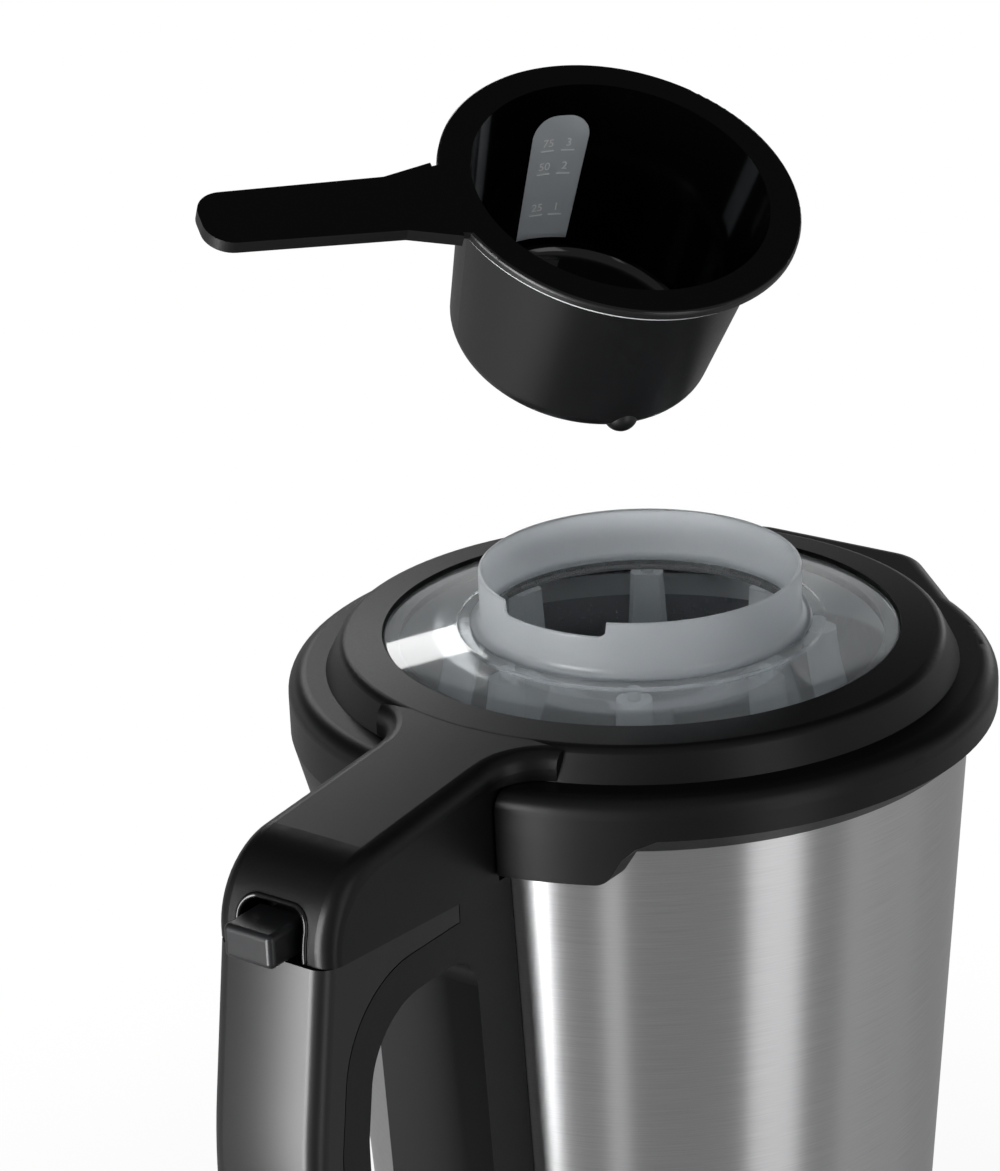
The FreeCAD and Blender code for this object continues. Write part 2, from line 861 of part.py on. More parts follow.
# Steel shell: tapered sleeve between the base and the collar
shell_top = collar_bottom + size.shell_tuck
shell_sleeve = turned("shell_sleeve", [
    (shell_radius(base_top) - size.shell_wall, base_top),
    (shell_radius(base_top), base_top),
    (shell_radius(shell_top), shell_top),
    (shell_radius(shell_top) - size.shell_wall, shell_top),
])


def cross_rod(radius, start, length, level):
    """A round bar along +X at a level."""
    body = new_body("cross_rod")
    bar = body.newObject("PartDesign::AdditiveCylinder", "bar")
    bar.Placement = FreeCAD.Placement(FreeCAD.Vector(start.value, 0, level.value),
                                      FreeCAD.Rotation(FreeCAD.Vector(0, 1, 0), 90))
    bind(bar, Radius=radius, Height=length, Placement__Base__x=start, Placement__Base__z=level)
    return body


spine_levels = [spine_screw_low, spine_screw_high]
spine_holes = []
spine_screws = []
for level in spine_levels:
    head_face = shell_radius(level - size.spine_screw_head_radius) - size.shell_wall
    spine_holes.append(cross_rod(size.spine_screw_radius, head_face - size.overrun * 2,
                                 size.spine_screw_length + size.overrun * 2, level))
    spine_screws.append(joined(
        cross_rod(size.spine_screw_head_radius, head_face - size.spine_screw_head,
                  size.spine_screw_head, level),
        cross_rod(size.spine_screw_radius, head_face - size.spine_screw_head / 2,
                  size.spine_screw_length + size.spine_screw_head / 2, level)))
node(cut(shell_sleeve, *spine_holes), "outer_shell")

# Spine screws: from inside the shell out into the handle's frame
node(group(*spine_screws), "spine_screws")

# Inner pot: drawn steel bowl that hangs by its flange under the collar's ledge
pot_under = pot_floor_level - size.pot_wall
inner_pot = turned("inner_pot", [
    (size.carrier_radius + size.fit, pot_under),
    (size.pot_floor_radius + size.pot_wall, pot_under),
    (pot_mouth_radius + size.pot_wall, ledge - size.pot_wall),
    (pot_flange_radius, ledge - size.pot_wall),
    (pot_flange_radius, ledge),
    (pot_mouth_radius, ledge),
    (size.pot_floor_radius, pot_floor_level),
    (size.carrier_radius + size.fit, pot_floor_level),
])
rounded(inner_pot, size.pot_corner, hoop(size.pot_floor_radius, pot_floor_level))
rounded(inner_pot, size.pot_corner + size.pot_wall,
        hoop(size.pot_floor_radius + size.pot_wall, pot_under))
node(inner_pot, "inner_pot")

# Collar: moulded rim with a beak-shaped pouring lip, a ledge for the lid, a slot for the
# lid's arm and a skirt at both sides of the handle, which is deeper on the far side
shell_gap = shell_radius(shell_top) + size.shell_fit
collar = turned("collar_rim", [
    (collar_bore_radius, ledge),
    (collar_bore_radius, collar_top),
    (collar_radius, collar_top),
    (collar_radius, collar_top - size.collar_band),
    (shell_radius(collar_bottom) + size.shell_fit + size.collar_foot_wall, collar_bottom),
    (shell_radius(collar_bottom) + size.shell_fit, collar_bottom),
    (shell_gap, shell_top),
    (pot_flange_radius + size.fit, shell_top),
    (pot_flange_radius + size.fit, ledge),
])
rounded(collar, size.collar_top_round, hoop(collar_radius, collar_top))
lip_tip = collar_radius + size.lip_reach
lip_bottom = collar_top - size.lip_height
lip_core_radius = collar_radius - size.collar_top_round - size.lip_sink
lip_root = lip_core_radius / 2
lip_flank_x = size.lip_flank_run - lip_tip
lip_flank_y = size.lip_flank_run + size.lip_front
lip_body = padded("lip", "XY_Plane", [
    (-lip_tip, size.lip_front),
    (lip_flank_x, lip_flank_y),
    (-lip_root, lip_root),
    (-lip_root, -lip_root),
    (lip_flank_x, -lip_flank_y),
    (-lip_tip, -size.lip_front),
], size.lip_height, lift=lip_bottom, both_ways=False)
rounded(lip_body, size.lip_corner,
        lambda point, edge: close(point.x, -lip_tip) and close(abs(point.y), size.lip_front))
for lip_edge_round, lip_edge in ((size.collar_top_round, collar_top),
                                 (size.lip_bottom_round, lip_bottom)):
    rounded(lip_body, lip_edge_round,
            lambda point, edge: close(point.z, lip_edge) and point.x < lip_flank_x.value - 5)
lip_core = rod(lip_core_radius, size.lip_height * 3, as_size(0), as_size(0),
               lip_bottom - size.lip_height)
rim_and_lip = joined(collar, cut(lip_body, lip_core))
band_bottom = collar_top - size.collar_band
near_bottom = band_bottom - size.near_skirt_drop
far_bottom = collar_bottom - size.far_skirt_drop
near_face = [
    (collar_radius, band_bottom),
    (collar_radius - size.near_skirt_draw, near_bottom),
]
near_back = [(radius - size.near_skirt_wall, level) for radius, level in reversed(near_face)]
near_skirt = turned("near_skirt", near_face + near_back)
far_face = [
    (collar_radius, band_bottom),
    (collar_radius, collar_bottom),
    (collar_radius - size.far_skirt_draw, far_bottom),
]
far_back = [(radius - size.far_skirt_wall, level) for radius, level in reversed(far_face)]
far_skirt = turned("far_skirt", far_face + far_back)
slot_half = size.arm_half_width + size.slot_fit
near_outline = padded("near_skirt_outline", "YZ_Plane", [
    (slot_half, band_bottom),
    (slot_half, near_bottom),
    (size.near_skirt_low, near_bottom),
    (size.near_skirt_low + size.near_skirt_flank, near_bottom + size.near_skirt_flank_rise),
    (size.near_skirt_low + size.near_skirt_turn, near_bottom + size.near_skirt_turn_rise),
    (size.near_skirt_low + size.near_skirt_high, band_bottom),
], arm_reach, both_ways=False)
rounded(near_outline, size.skirt_round,
        lambda point, edge: close(point.y, size.near_skirt_low) and close(point.z, near_bottom))
far_outline = padded("far_skirt_outline", "YZ_Plane", [
    (-slot_half, band_bottom),
    (-slot_half, far_bottom),
    (-size.far_skirt_low, far_bottom),
    (-size.far_skirt_high, collar_bottom),
    (-size.far_skirt_high, band_bottom),
], arm_reach, both_ways=False)
arm_root = window_radius + size.arm_root_inset
arm_slot = joined(
    box(arm_inner_face - size.slot_fit, -slot_half, parting_inner - size.overrun, arm_reach,
        slot_half * 2, arm_reach),
    box(arm_root, -slot_half, plug_bottom - size.slot_fit, arm_reach, slot_half * 2, arm_reach))
node(cut(joined(rim_and_lip, common(near_skirt, near_outline), common(far_skirt, far_outline)), arm_slot),
     "collar")

# Lid frame: ring that covers the mouth and holds the window, and an arm that reaches
# over the handle; the arm is hollow and open below
plug_radius = collar_bore_radius - size.lid_fit
seat_radius = window_radius + size.fit
window_under = collar_top + size.window_edge_rise - size.window_thickness
table_slope = (size.ring_lip_rise - size.arm_end_rise) / (arm_reach - seat_radius)


def table_level(radius):
    """Level of the lid's upper face, one shallow cone over the ring and the arm."""
    return collar_top + size.ring_lip_rise - table_slope * (radius - seat_radius)


lid_ring = turned("lid_ring", [
    (seat_radius, table_level(seat_radius)),
    (ring_shoulder_radius, table_level(ring_shoulder_radius)),
    (ring_foot_radius, collar_top),
    (plug_radius, collar_top),
    (plug_radius, plug_bottom),
    (plug_radius - size.ring_wall, plug_bottom),
    (plug_radius - size.ring_wall, window_under - size.ring_roof),
    (seat_radius - size.window_ledge, window_under - size.ring_roof),
    (seat_radius - size.window_ledge, window_under),
    (seat_radius, window_under),
])
rounded(lid_ring, size.ring_shoulder_round,
        hoop(ring_shoulder_radius, table_level(ring_shoulder_radius)))
blend_y = size.arm_half_width + size.arm_blend_round
blend_centre = ring_foot_radius + size.arm_blend_round
blend_x = root(blend_centre * blend_centre - blend_y * blend_y)
blend_half = blend_y * ring_foot_radius / blend_centre
blank_top = table_level(arm_root) + size.overrun
arm = padded("lid_arm", "XZ_Plane", [
    (arm_root, plug_bottom),
    (arm_root, blank_top),
    (arm_reach, blank_top),
    (arm_reach, parting),
    (arm_inner_face, parting_inner),
    (arm_inner_face, plug_bottom),
], size.arm_half_width * 2)
blend_start = arm_root + size.arm_root_inset
blend_bottom = collar_top + size.arm_blend_lift
pad(arm, "XZ_Plane", [
    (blend_start, blend_bottom),
    (blend_start, blank_top),
    (blend_x, blank_top),
    (blend_x, blend_bottom),
], blend_half * 2)
for blend_side in (-blend_y, blend_y):
    scoop = arm.newObject("PartDesign::SubtractiveCylinder", "scoop")
    scoop.Placement = FreeCAD.Placement(FreeCAD.Vector(0, 0, 0), FreeCAD.Rotation())
    bind(scoop, Radius=size.arm_blend_round, Height=size.arm_length, Placement__Base__x=blend_x,
         Placement__Base__y=blend_side, Placement__Base__z=blend_bottom - size.overrun)
    document.recompute()
table_inside = arm_root - size.overrun
table_outside = arm_reach + arm_root
turn(arm, [
    (table_inside, table_level(table_inside) - size.arm_sink),
    (table_outside, table_level(table_outside) - size.arm_sink),
    (table_outside, blank_top + size.overrun),
    (table_inside, blank_top + size.overrun),
], plane="YZ_Plane", kind="Groove")
rounded(arm, size.arm_end_round,
        lambda point, edge: close(point.x, arm_reach) and abs(point.y) < 1
        and point.z > parting.value + 1)


def arm_edge(point, edge):
    """A test for the edges of the arm's upper face and of its rounded nose."""
    top = table_level(math.hypot(point.x, point.y)).value - size.arm_sink.value
    on_side = close(abs(point.y), size.arm_half_width)
    on_blend = close(math.hypot(point.x - blend_x.value, abs(point.y) - blend_y.value),
                     size.arm_blend_round)
    on_nose = point.x > (arm_reach - size.arm_end_round).value and point.z > parting.value + 0.1
    return (on_side and on_nose) or (close(point.z, top) and (on_side or on_blend))


rounded(arm, size.arm_edge_round, arm_edge)
hollow_start = arm_inner_face + size.arm_wall
arm_hollow_end = arm_reach - size.arm_nose


def hollow_roof(x):
    return table_level(x) - size.arm_wall * 2


hollow_slope = size.arm_wall * 3
arm_hollow = padded("arm_hollow", "XZ_Plane", [
    (hollow_start, parting_inner - size.overrun),
    (hollow_start, hollow_roof(hollow_start)),
    (arm_hollow_end - hollow_slope, hollow_roof(arm_hollow_end - hollow_slope)),
    (arm_hollow_end, hollow_roof(arm_hollow_end) - hollow_slope),
    (arm_hollow_end, parting_inner - size.overrun),
], (size.arm_half_width - size.arm_wall) * 2)
notch = padded("arm_notch", "YZ_Plane", [
    (-size.arm_notch_width / 2, parting - size.overrun),
    (size.arm_notch_width / 2, parting - size.overrun),
    (size.arm_notch_width / 2, parting + size.arm_notch_height),
    (-size.arm_notch_width / 2, parting + size.arm_notch_height),
], size.arm_notch_depth + size.latch_proud, lift=arm_reach - size.arm_notch_depth,
    both_ways=False)
rounded(notch, size.arm_notch_round,
        lambda point, edge: close(point.z, parting + size.arm_notch_height)
        and close(abs(point.y), size.arm_notch_width / 2))
stem_bottom = parting + size.arm_cover + size.fit
stem_way = box(arm_hollow_end - size.overrun, -size.latch_stem_width / 2 - size.latch_gap,
               parting_inner, arm_reach - size.arm_notch_depth - arm_hollow_end + size.overrun * 2,
               size.latch_stem_width + size.latch_gap * 2,
               stem_bottom - parting_inner + size.latch_stem_height + size.latch_gap)
latch_stem_end = arm_hollow_end - size.latch_stem_tail
rib_x = latch_stem_end - size.spring_length - size.spring_rib
screw_x = [arm_inner_face + size.arm_screw_start, rib_x - size.arm_screw_gap]
boss_bottom = parting + size.arm_cover
arm_bosses = [rod(size.arm_boss_radius, hollow_roof(x) - boss_bottom + size.arm_wall, x, as_size(0),
                  boss_bottom) for x in screw_x]
arm_screw_holes = [rod(size.base_screw_radius, size.base_screw_length, x, as_size(0), parting)
                   for x in screw_x]
arm_shell = cut(arm, arm_hollow, notch, stem_way)
node(cut(joined(lid_ring, arm_shell, *arm_bosses), *arm_screw_holes), "lid_frame")

# Arm cover: plate that closes the arm from below, with a rib behind the latch spring
cover_start = hollow_start + size.fit
cover_half = size.arm_half_width - size.arm_wall - size.fit
cover_plate = box(cover_start, -cover_half, parting, arm_hollow_end - size.fit - cover_start,
                  cover_half * 2, size.arm_cover)
rib = box(rib_x, -size.spring_half_width, parting, size.spring_rib, size.spring_half_width * 2,
          size.arm_cover + size.latch_stem_height)
cover_recesses = [rod(size.base_screw_head_radius + size.fit, size.base_screw_head, x, as_size(0),
                      parting) for x in screw_x]
cover_holes = [rod(size.base_screw_radius, size.arm_cover * 2, x, as_size(0), parting)
               for x in screw_x]
node(cut(joined(cover_plate, rib), *(cover_recesses + cover_holes)), "arm_cover")
arm_screws = []
for x in screw_x:
    arm_screws.append(joined(
        rod(size.base_screw_head_radius, size.base_screw_head, x, as_size(0), parting),
        rod(size.base_screw_radius, size.base_screw_length, x, as_size(0), parting)))
node(group(*arm_screws), "arm_screws")

# Latch button: cap in the arm's notch, on a stem inside the arm, with a hook that
# reaches down into the handle
latch_face = arm_reach + size.latch_proud
cap = padded("latch_cap", "YZ_Plane", [
    (-size.latch_width / 2, parting + size.latch_lift),
    (size.latch_width / 2, parting + size.latch_lift),
    (size.latch_width / 2, parting + size.latch_height),
    (-size.latch_width / 2, parting + size.latch_height),
], size.latch_depth, lift=latch_face - size.latch_depth, both_ways=False)
rounded(cap, size.latch_round,
        lambda point, edge: close(point.x, latch_face)
        or (close(point.x, latch_face - size.latch_depth / 2)
            and close(abs(point.y), size.latch_width / 2)))
stem = box(latch_stem_end, -size.latch_stem_width / 2, stem_bottom,
           latch_face - size.latch_depth / 2 - latch_stem_end, size.latch_stem_width,
           size.latch_stem_height)
hook_x = arm_hollow_end + size.latch_travel + size.latch_gap
hook = box(hook_x, -size.latch_stem_width / 2, parting - size.latch_hook_depth,
           size.latch_hook_thickness, size.latch_stem_width,
           size.latch_hook_depth + stem_bottom - parting + size.latch_stem_height)
node(joined(cap, stem, hook), "latch_button")

# Latch spring: bent strip of spring steel between the cover's rib and the stem
strip = size.spring_strip
spring_tip = latch_stem_end
node(padded("latch_spring", "XY_Plane", [
    (rib_x + size.spring_rib, -size.spring_half_width),
    (rib_x + size.spring_rib + strip, -size.spring_half_width),
    (spring_tip, as_size(0)),
    (rib_x + size.spring_rib + strip, size.spring_half_width),
    (rib_x + size.spring_rib, size.spring_half_width),
    (spring_tip - strip * 2, as_size(0)),
], size.spring_height, lift=stem_bottom, both_ways=False), "latch_spring")

# Window: clear domed ring of the lid, on the frame's ledge
window_top = collar_top + size.window_edge_rise
window_step_radius = size.neck_radius + size.window_step_run
step_top = collar_top + size.window_step_rise
neck_bore = size.neck_radius - size.neck_wall
node(turned("lid_window", [
    (neck_bore, step_top - size.window_thickness),
    (window_step_radius, step_top - size.window_thickness),
    (window_radius, window_under),
    (window_radius, window_top),
    (window_step_radius, step_top),
    (neck_bore, step_top),
]), "lid_window")

# Lid seal: silicone ring under the frame that presses into the pot's mouth
seal_radius = pot_mouth_radius - size.lid_fit
node(turned("lid_seal", [
    (seal_radius - size.seal_wall, plug_bottom),
    (seal_radius, plug_bottom),
    (seal_radius - size.lid_fit * 2, plug_bottom - size.seal_drop),
    (seal_radius - size.seal_wall, plug_bottom - size.seal_drop),
]), "lid_seal")

# Filler neck: frosted tube on the window, with a notch for the cup's handle
neck_base_radius = size.neck_radius + size.neck_flare
neck_tube = turned("neck_tube", [
    (neck_bore, step_top),
    (neck_base_radius, step_top),
    (size.neck_radius, step_top + size.neck_base_height),
    (size.neck_radius, neck_rim),
    (neck_bore, neck_rim),
])
notch_tool = padded("neck_notch", "YZ_Plane", [
    (-size.notch_width / 2, neck_rim + size.overrun),
    (-size.notch_width / 2, neck_rim - size.notch_depth),
    (size.notch_width / 2, neck_rim - size.notch_depth),
    (size.notch_width / 2, neck_rim + size.overrun),
], size.neck_radius * 2, both_ways=False)
rounded(notch_tool, size.notch_round,
        lambda point, edge: close(abs(point.y), size.notch_width / 2)
        and close(point.z, neck_rim - size.notch_depth))
node(cut(neck_tube, notch_tool), "filler_neck")

# Splash guard: clear ring that hangs under the window on tapered posts
post_circle = size.neck_radius + size.post_offset
guard_inner_radius = size.neck_radius + size.guard_gap
guard_outer_radius = post_circle + size.guard_width
post_top = neck_rim - size.post_top_drop
post_foot = post_top - size.post_height
pin_length = step_top - size.window_thickness - post_top
guard_pieces = [turned("guard_ring", [
    (guard_inner_radius, post_foot - size.guard_thickness),
    (guard_outer_radius, post_foot - size.guard_thickness),
    (guard_outer_radius, post_foot),
    (guard_inner_radius, post_foot),
])]
for x, y in around(int(SIZES["post_count"]), size.post_first_angle, post_circle):
    post = document.addObject("Part::Cone", "post")
    bind(post, Radius1=size.post_foot_radius, Radius2=size.post_top_radius,
         Height=size.post_height, Placement__Base__x=x, Placement__Base__y=y,
         Placement__Base__z=post_foot)
    guard_pieces += [post, rod(size.post_pin_radius, pin_length, x, y, post_top)]
guard_bore = rod(guard_inner_radius, size.post_height * 2, as_size(0), as_size(0),
                 post_foot - size.guard_thickness * 2)
guard_side = turned("guard_side", [
    (guard_outer_radius, post_foot - size.guard_thickness * 2),
    (window_radius, post_foot - size.guard_thickness * 2),
    (window_radius, neck_rim),
    (guard_outer_radius, neck_rim),
])
node(cut(joined(*guard_pieces), guard_bore, guard_side), "splash_guard")

# Handle: a closed loop in side view, parted into an inner frame, which lines the hand's
# opening and lies along the shell, and an outer cover
grip_top = arm_reach + size.grip_step
handle_inner = size.shell_bottom_radius / 2
handle_block = padded("handle_block", "XZ_Plane", [
    (handle_inner, parting_inner - size.parting_gap),
    (arm_inner_face, parting_inner - size.parting_gap),
    (grip_top, parting_at(grip_top) - size.parting_gap),
    (grip_belly, grip_belly_level),
    (grip_belly, grip_bottom_level),
    (handle_inner, grip_bottom_level),
], size.grip_half_width * 2)
rounded(handle_block, size.grip_corner_round,
        lambda point, edge: close(point.x, grip_belly)
        and close(point.z, grip_bottom_level))
rounded(handle_block, size.grip_belly_round,
        lambda point, edge: close(point.x, grip_belly)
        and close(point.z, grip_belly_level))
rounded(handle_block, size.grip_edge_round,
        lambda point, edge: close(abs(point.y), size.grip_half_width)
        and point.x > arm_reach.value - 40 and point.z < parting.value - 6)
opening_top = parting - size.bridge_thickness
opening_bottom = grip_bottom_level + size.lower_bridge_thickness


def spine_face(level):
    return shell_radius(level) + size.spine_depth


def grip_face(level):
    """Outer face of the grip, which leans out from the parting plane down to its belly."""
    slope = (grip_belly - grip_top) / (parting - grip_belly_level)
    return grip_top + slope * (parting - level)


def loop(name, depth, top, bottom, inner, width):
    """A block in the handle's side view that keeps a depth from the grip's outer face."""
    return padded(name, "XZ_Plane", [
        (inner(top), top),
        (grip_face(top) - depth, top),
        (grip_belly - depth, grip_belly_level),
        (grip_belly - depth, bottom),
        (inner(bottom), bottom),
    ], width)


def outer_corner(point, edge):
    return point.x > grip_belly.value - 40 and close(point.y, 0, 1)


opening = loop("hand_opening", size.grip_depth, opening_top, opening_bottom, spine_face,
               size.grip_half_width * 4)
rounded(opening, size.opening_round, outer_corner)
rounded(opening, size.opening_inner_round,
        lambda point, edge: point.x < spine_face(opening_top).value + 0.5 and close(point.y, 0, 1))


def liner(name, grow):
    """The inner frame's outline, grown by a gap where the cover is cut to take it."""
    body = loop(name, size.grip_depth - size.liner_thickness - grow,
                opening_top + size.liner_thickness + grow,
                opening_bottom - size.liner_thickness - grow, lambda level: handle_inner,
                size.grip_half_width * 4)
    rounded(body, size.liner_round, outer_corner)
    return body


spine_reach = arm_inner_face + size.spine_depth


def spine(grow):
    """The upright strip of the frame that lies along the shell, up to the parting plane."""
    return box(handle_inner, -size.grip_half_width * 2, grip_bottom_level - size.overrun,
               spine_reach - handle_inner + grow, size.grip_half_width * 4, arm_reach * 2)


clear_bottom = grip_bottom_level - size.overrun
clear_top = parting + size.overrun
shell_clear = turned("shell_clear", [
    (as_size(0), clear_bottom),
    (shell_radius(clear_bottom) + size.shell_fit, clear_bottom),
    (shell_radius(clear_top) + size.shell_fit, clear_top),
    (as_size(0), clear_top),
])
frame_solid = common(handle_block, joined(liner("liner", as_size(0)), spine(as_size(0))))
first_screw_x = grip_belly - size.grip_depth - size.handle_screw_inset
handle_screw_x = [first_screw_x, first_screw_x + size.handle_screw_pitch]


def grip_screw(x, margin):
    """One screw up through the foot of the grip, or the room for it with a margin."""
    return joined(
        rod(size.handle_screw_head_radius + margin, size.handle_screw_head, x, as_size(0),
            grip_bottom_level),
        rod(size.handle_screw_radius, size.handle_screw_length, x, as_size(0),
            grip_bottom_level))


screw_rooms = [grip_screw(x, size.fit) for x in handle_screw_x]
node(cut(frame_solid, opening, shell_clear, *(screw_rooms + spine_holes)), "handle_frame")

# Handle cover: hollow outer half of the grip, with the latch's slot and the interlock's
# hole in its top
cover_solid = cut(handle_block, liner("liner_space", size.seam_gap), spine(size.seam_gap),
                  shell_clear)
plunger_x = arm_reach - size.plunger_inset
plunger_top = parting_at(plunger_x - size.plunger_radius) - size.fit / 4
switch_top = plunger_top - size.plunger_length - size.fit
switch_bottom = switch_top - size.switch_height
hollow_top_level = parting - size.parting_gap - size.grip_top_wall
cover_hollow = padded("cover_hollow", "XZ_Plane", [
    (grip_belly - size.grip_depth - size.overrun, hollow_top_level),
    (grip_top - size.grip_wall, hollow_top_level),
    (grip_top - size.grip_wall, switch_bottom - size.fit),
    (grip_belly - size.grip_wall, grip_belly_level - size.grip_wall),
    (grip_belly - size.grip_wall, opening_bottom),
    (grip_belly - size.grip_depth - size.overrun, opening_bottom),
], (size.grip_half_width - size.grip_wall) * 2)
hook_slot = box(hook_x - size.latch_travel - size.latch_gap, -size.latch_stem_width / 2 - size.latch_gap,
                parting - size.latch_hook_depth - size.latch_gap * 2,
                size.latch_hook_thickness + size.latch_travel + size.latch_gap * 2,
                size.latch_stem_width + size.latch_gap * 2, size.latch_hook_depth * 2)
plunger_hole = rod(size.plunger_radius + size.plunger_fit, size.grip_wall * 4, plunger_x,
                   size.plunger_across, parting - size.grip_wall * 3)
node(cut(cover_solid, cover_hollow, hook_slot, plunger_hole, *screw_rooms), "handle_cover")

# Handle screws: two screws up through the foot of the grip
node(group(*[grip_screw(x, as_size(0)) for x in handle_screw_x]), "handle_screws")

# Lid interlock: a pin that the lid's arm holds down on a switch inside the handle
node(rod(size.plunger_radius, size.plunger_length, plunger_x, size.plunger_across,
         plunger_top - size.plunger_length), "interlock_plunger")
switch_x = grip_top - size.grip_wall - size.switch_depth
node(box(switch_x, size.plunger_across + size.plunger_radius - size.switch_width,
         switch_bottom, size.switch_depth, size.switch_width, size.switch_height), "interlock_switch")

# Heater: aluminium plate under the pot's floor, a ring element on it and a cut-out
cutout_circle = size.nut_radius + size.cutout_radius + size.heater_gap
element_circle = cutout_circle + size.cutout_radius + size.element_radius + size.fit * 3
heater_radius = element_circle + size.plate_margin
plate_under = pot_under - size.plate_thickness
plate_hole = size.carrier_radius + size.fit
node(turned("heater_plate", [
    (plate_hole, plate_under),
    (heater_radius, plate_under),
    (heater_radius, pot_under),
    (plate_hole, pot_under),
]), "heater_plate")
element_level = plate_under - size.element_radius
element = document.addObject("Part::Torus", "element")
bind(element, Radius1=element_circle, Radius2=size.element_radius,
     Placement__Base__z=element_level)
element.setExpression("Angle3", "%s * 1 deg" % size.element_sweep.text)
tails = []
for angle in (as_size(0), size.element_sweep):
    tails.append(rod(size.element_radius, size.element_tail, element_circle * cosine(angle),
                     element_circle * sine(angle), element_level - size.element_tail))
node(joined(element, *tails), "heating_element")
node(rod(size.cutout_radius, size.cutout_height, -cutout_circle, as_size(0),
         plate_under - size.cutout_height), "thermal_cutout")

# Shaft carrier: flanged tube through the pot's floor, with a gasket above, a nut below,
# two bushes and a lip seal inside
gasket_top = pot_floor_level + size.gasket_thickness
flange_top = gasket_top + size.carrier_flange
carrier_bottom = pot_floor_level - size.carrier_length
carrier_bore = size.carrier_radius - size.carrier_wall
node(turned("shaft_carrier", [
    (carrier_bore, carrier_bottom),
    (size.carrier_radius, carrier_bottom),
    (size.carrier_radius, gasket_top),
    (size.carrier_flange_radius, gasket_top),
    (size.carrier_flange_radius, flange_top),
    (carrier_bore, flange_top),
]), "shaft_carrier")
node(turned("pot_gasket", [
    (size.carrier_radius, pot_floor_level),
    (size.carrier_flange_radius, pot_floor_level),
    (size.carrier_flange_radius, gasket_top),
    (size.carrier_radius, gasket_top),
]), "pot_gasket")
nut = document.addObject("Part::Prism", "nut")
nut.Polygon = 6
bind(nut, Circumradius=size.nut_radius, Height=size.nut_height,
     Placement__Base__z=plate_under - size.nut_height)
node(cut(nut, rod(size.carrier_radius, size.nut_height * 3, as_size(0), as_size(0),
                  plate_under - size.nut_height * 2)), "carrier_nut")
shaft_bore = size.shaft_radius + size.shaft_play


def bush(name, outer, bottom, height):
    """A ring that the shaft runs in."""
    return turned(name, [
        (shaft_bore, bottom),
        (outer, bottom),
        (outer, bottom + height),
        (shaft_bore, bottom + height),
    ])


seal_bottom = flange_top - size.shaft_seal_height
node(bush("shaft_seal", carrier_bore, seal_bottom, size.shaft_seal_height), "shaft_seal")
node(group(bush("lower_bush", carrier_bore, carrier_bottom, size.bush_length),
           bush("upper_bush", carrier_bore, seal_bottom - size.bush_length, size.bush_length)),
     "carrier_bushes")

# Motor deck: plate on the housing's spigot that the motor hangs under
deck_bottom = base_top + size.spigot_height
deck_top = deck_bottom + size.deck_thickness
node(turned("motor_deck", [
    (size.deck_hole_radius, deck_bottom),
    (spigot_radius, deck_bottom),
    (spigot_radius, deck_top),
    (size.deck_hole_radius, deck_top),
]), "motor_deck")
bracket_top = deck_bottom - size.mount_height
mount_places = around(4, 45.0, size.motor_radius - size.mount_inset)
node(group(*[rod(size.mount_radius, size.mount_height, x, y, bracket_top) for x, y in mount_places]),
     "motor_mounts")

# Motor: stator between two brackets with bearings, windings and brushes
motor_bore_radius = size.motor_radius - size.stator_wall
stator_height = size.base_height - size.motor_room
bracket_under = bracket_top - size.bracket_thickness
stator_top = bracket_under - size.bracket_rim
stator_bottom = stator_top - stator_height
lower_top = stator_bottom - size.bracket_rim
lower_bottom = lower_top - size.bracket_thickness
rim_inner = size.motor_radius - size.bracket_rim_wall
node(turned("motor_top_bracket", [
    (size.bearing_radius, bracket_under),
    (rim_inner, bracket_under),
    (rim_inner, stator_top),
    (size.motor_radius, stator_top),
    (size.motor_radius, bracket_top),
    (size.bearing_radius, bracket_top),
]), "motor_top_bracket")
node(turned("motor_stator", [
    (motor_bore_radius, stator_bottom),
    (size.motor_radius, stator_bottom),
    (size.motor_radius, stator_top),
    (motor_bore_radius, stator_top),
]), "motor_stator")
node(turned("motor_bottom_bracket", [
    (size.bearing_radius, lower_bottom),
    (size.motor_radius, lower_bottom),
    (size.motor_radius, stator_bottom),
    (rim_inner, stator_bottom),
    (rim_inner, lower_top),
    (size.bearing_radius, lower_top),
]), "motor_bottom_bracket")


winding_inner_radius = motor_bore_radius + size.winding_inset


def winding(bottom):
    """A ring of enamelled wire at one end of the stator."""
    return turned("winding", [
        (winding_inner_radius, bottom),
        (rim_inner, bottom),
        (rim_inner, bottom + size.winding_height),
        (winding_inner_radius, bottom + size.winding_height),
    ])


node(group(winding(stator_top), winding(stator_bottom - size.winding_height)), "field_windings")
top_bearing_bottom = bracket_top - size.bearing_length
low_bearing_bottom = lower_bottom - size.bearing_length + size.bracket_thickness
node(group(bush("top_bearing", size.bearing_radius, top_bearing_bottom, size.bearing_length),
           bush("bottom_bearing", size.bearing_radius, low_bearing_bottom, size.bearing_length)),
     "motor_bearings")
commutator_top = top_bearing_bottom - size.fit * 2
commutator_bottom = commutator_top - size.commutator_height
brush_start = size.commutator_radius + size.fit
brush_bottom = bracket_under - size.brush_width
node(group(
    box(brush_start, -size.brush_width / 2, brush_bottom, size.brush_length, size.brush_width,
        size.brush_width),
    box(-brush_start - size.brush_length, -size.brush_width / 2, brush_bottom, size.brush_length,
        size.brush_width, size.brush_width)), "carbon_brushes")

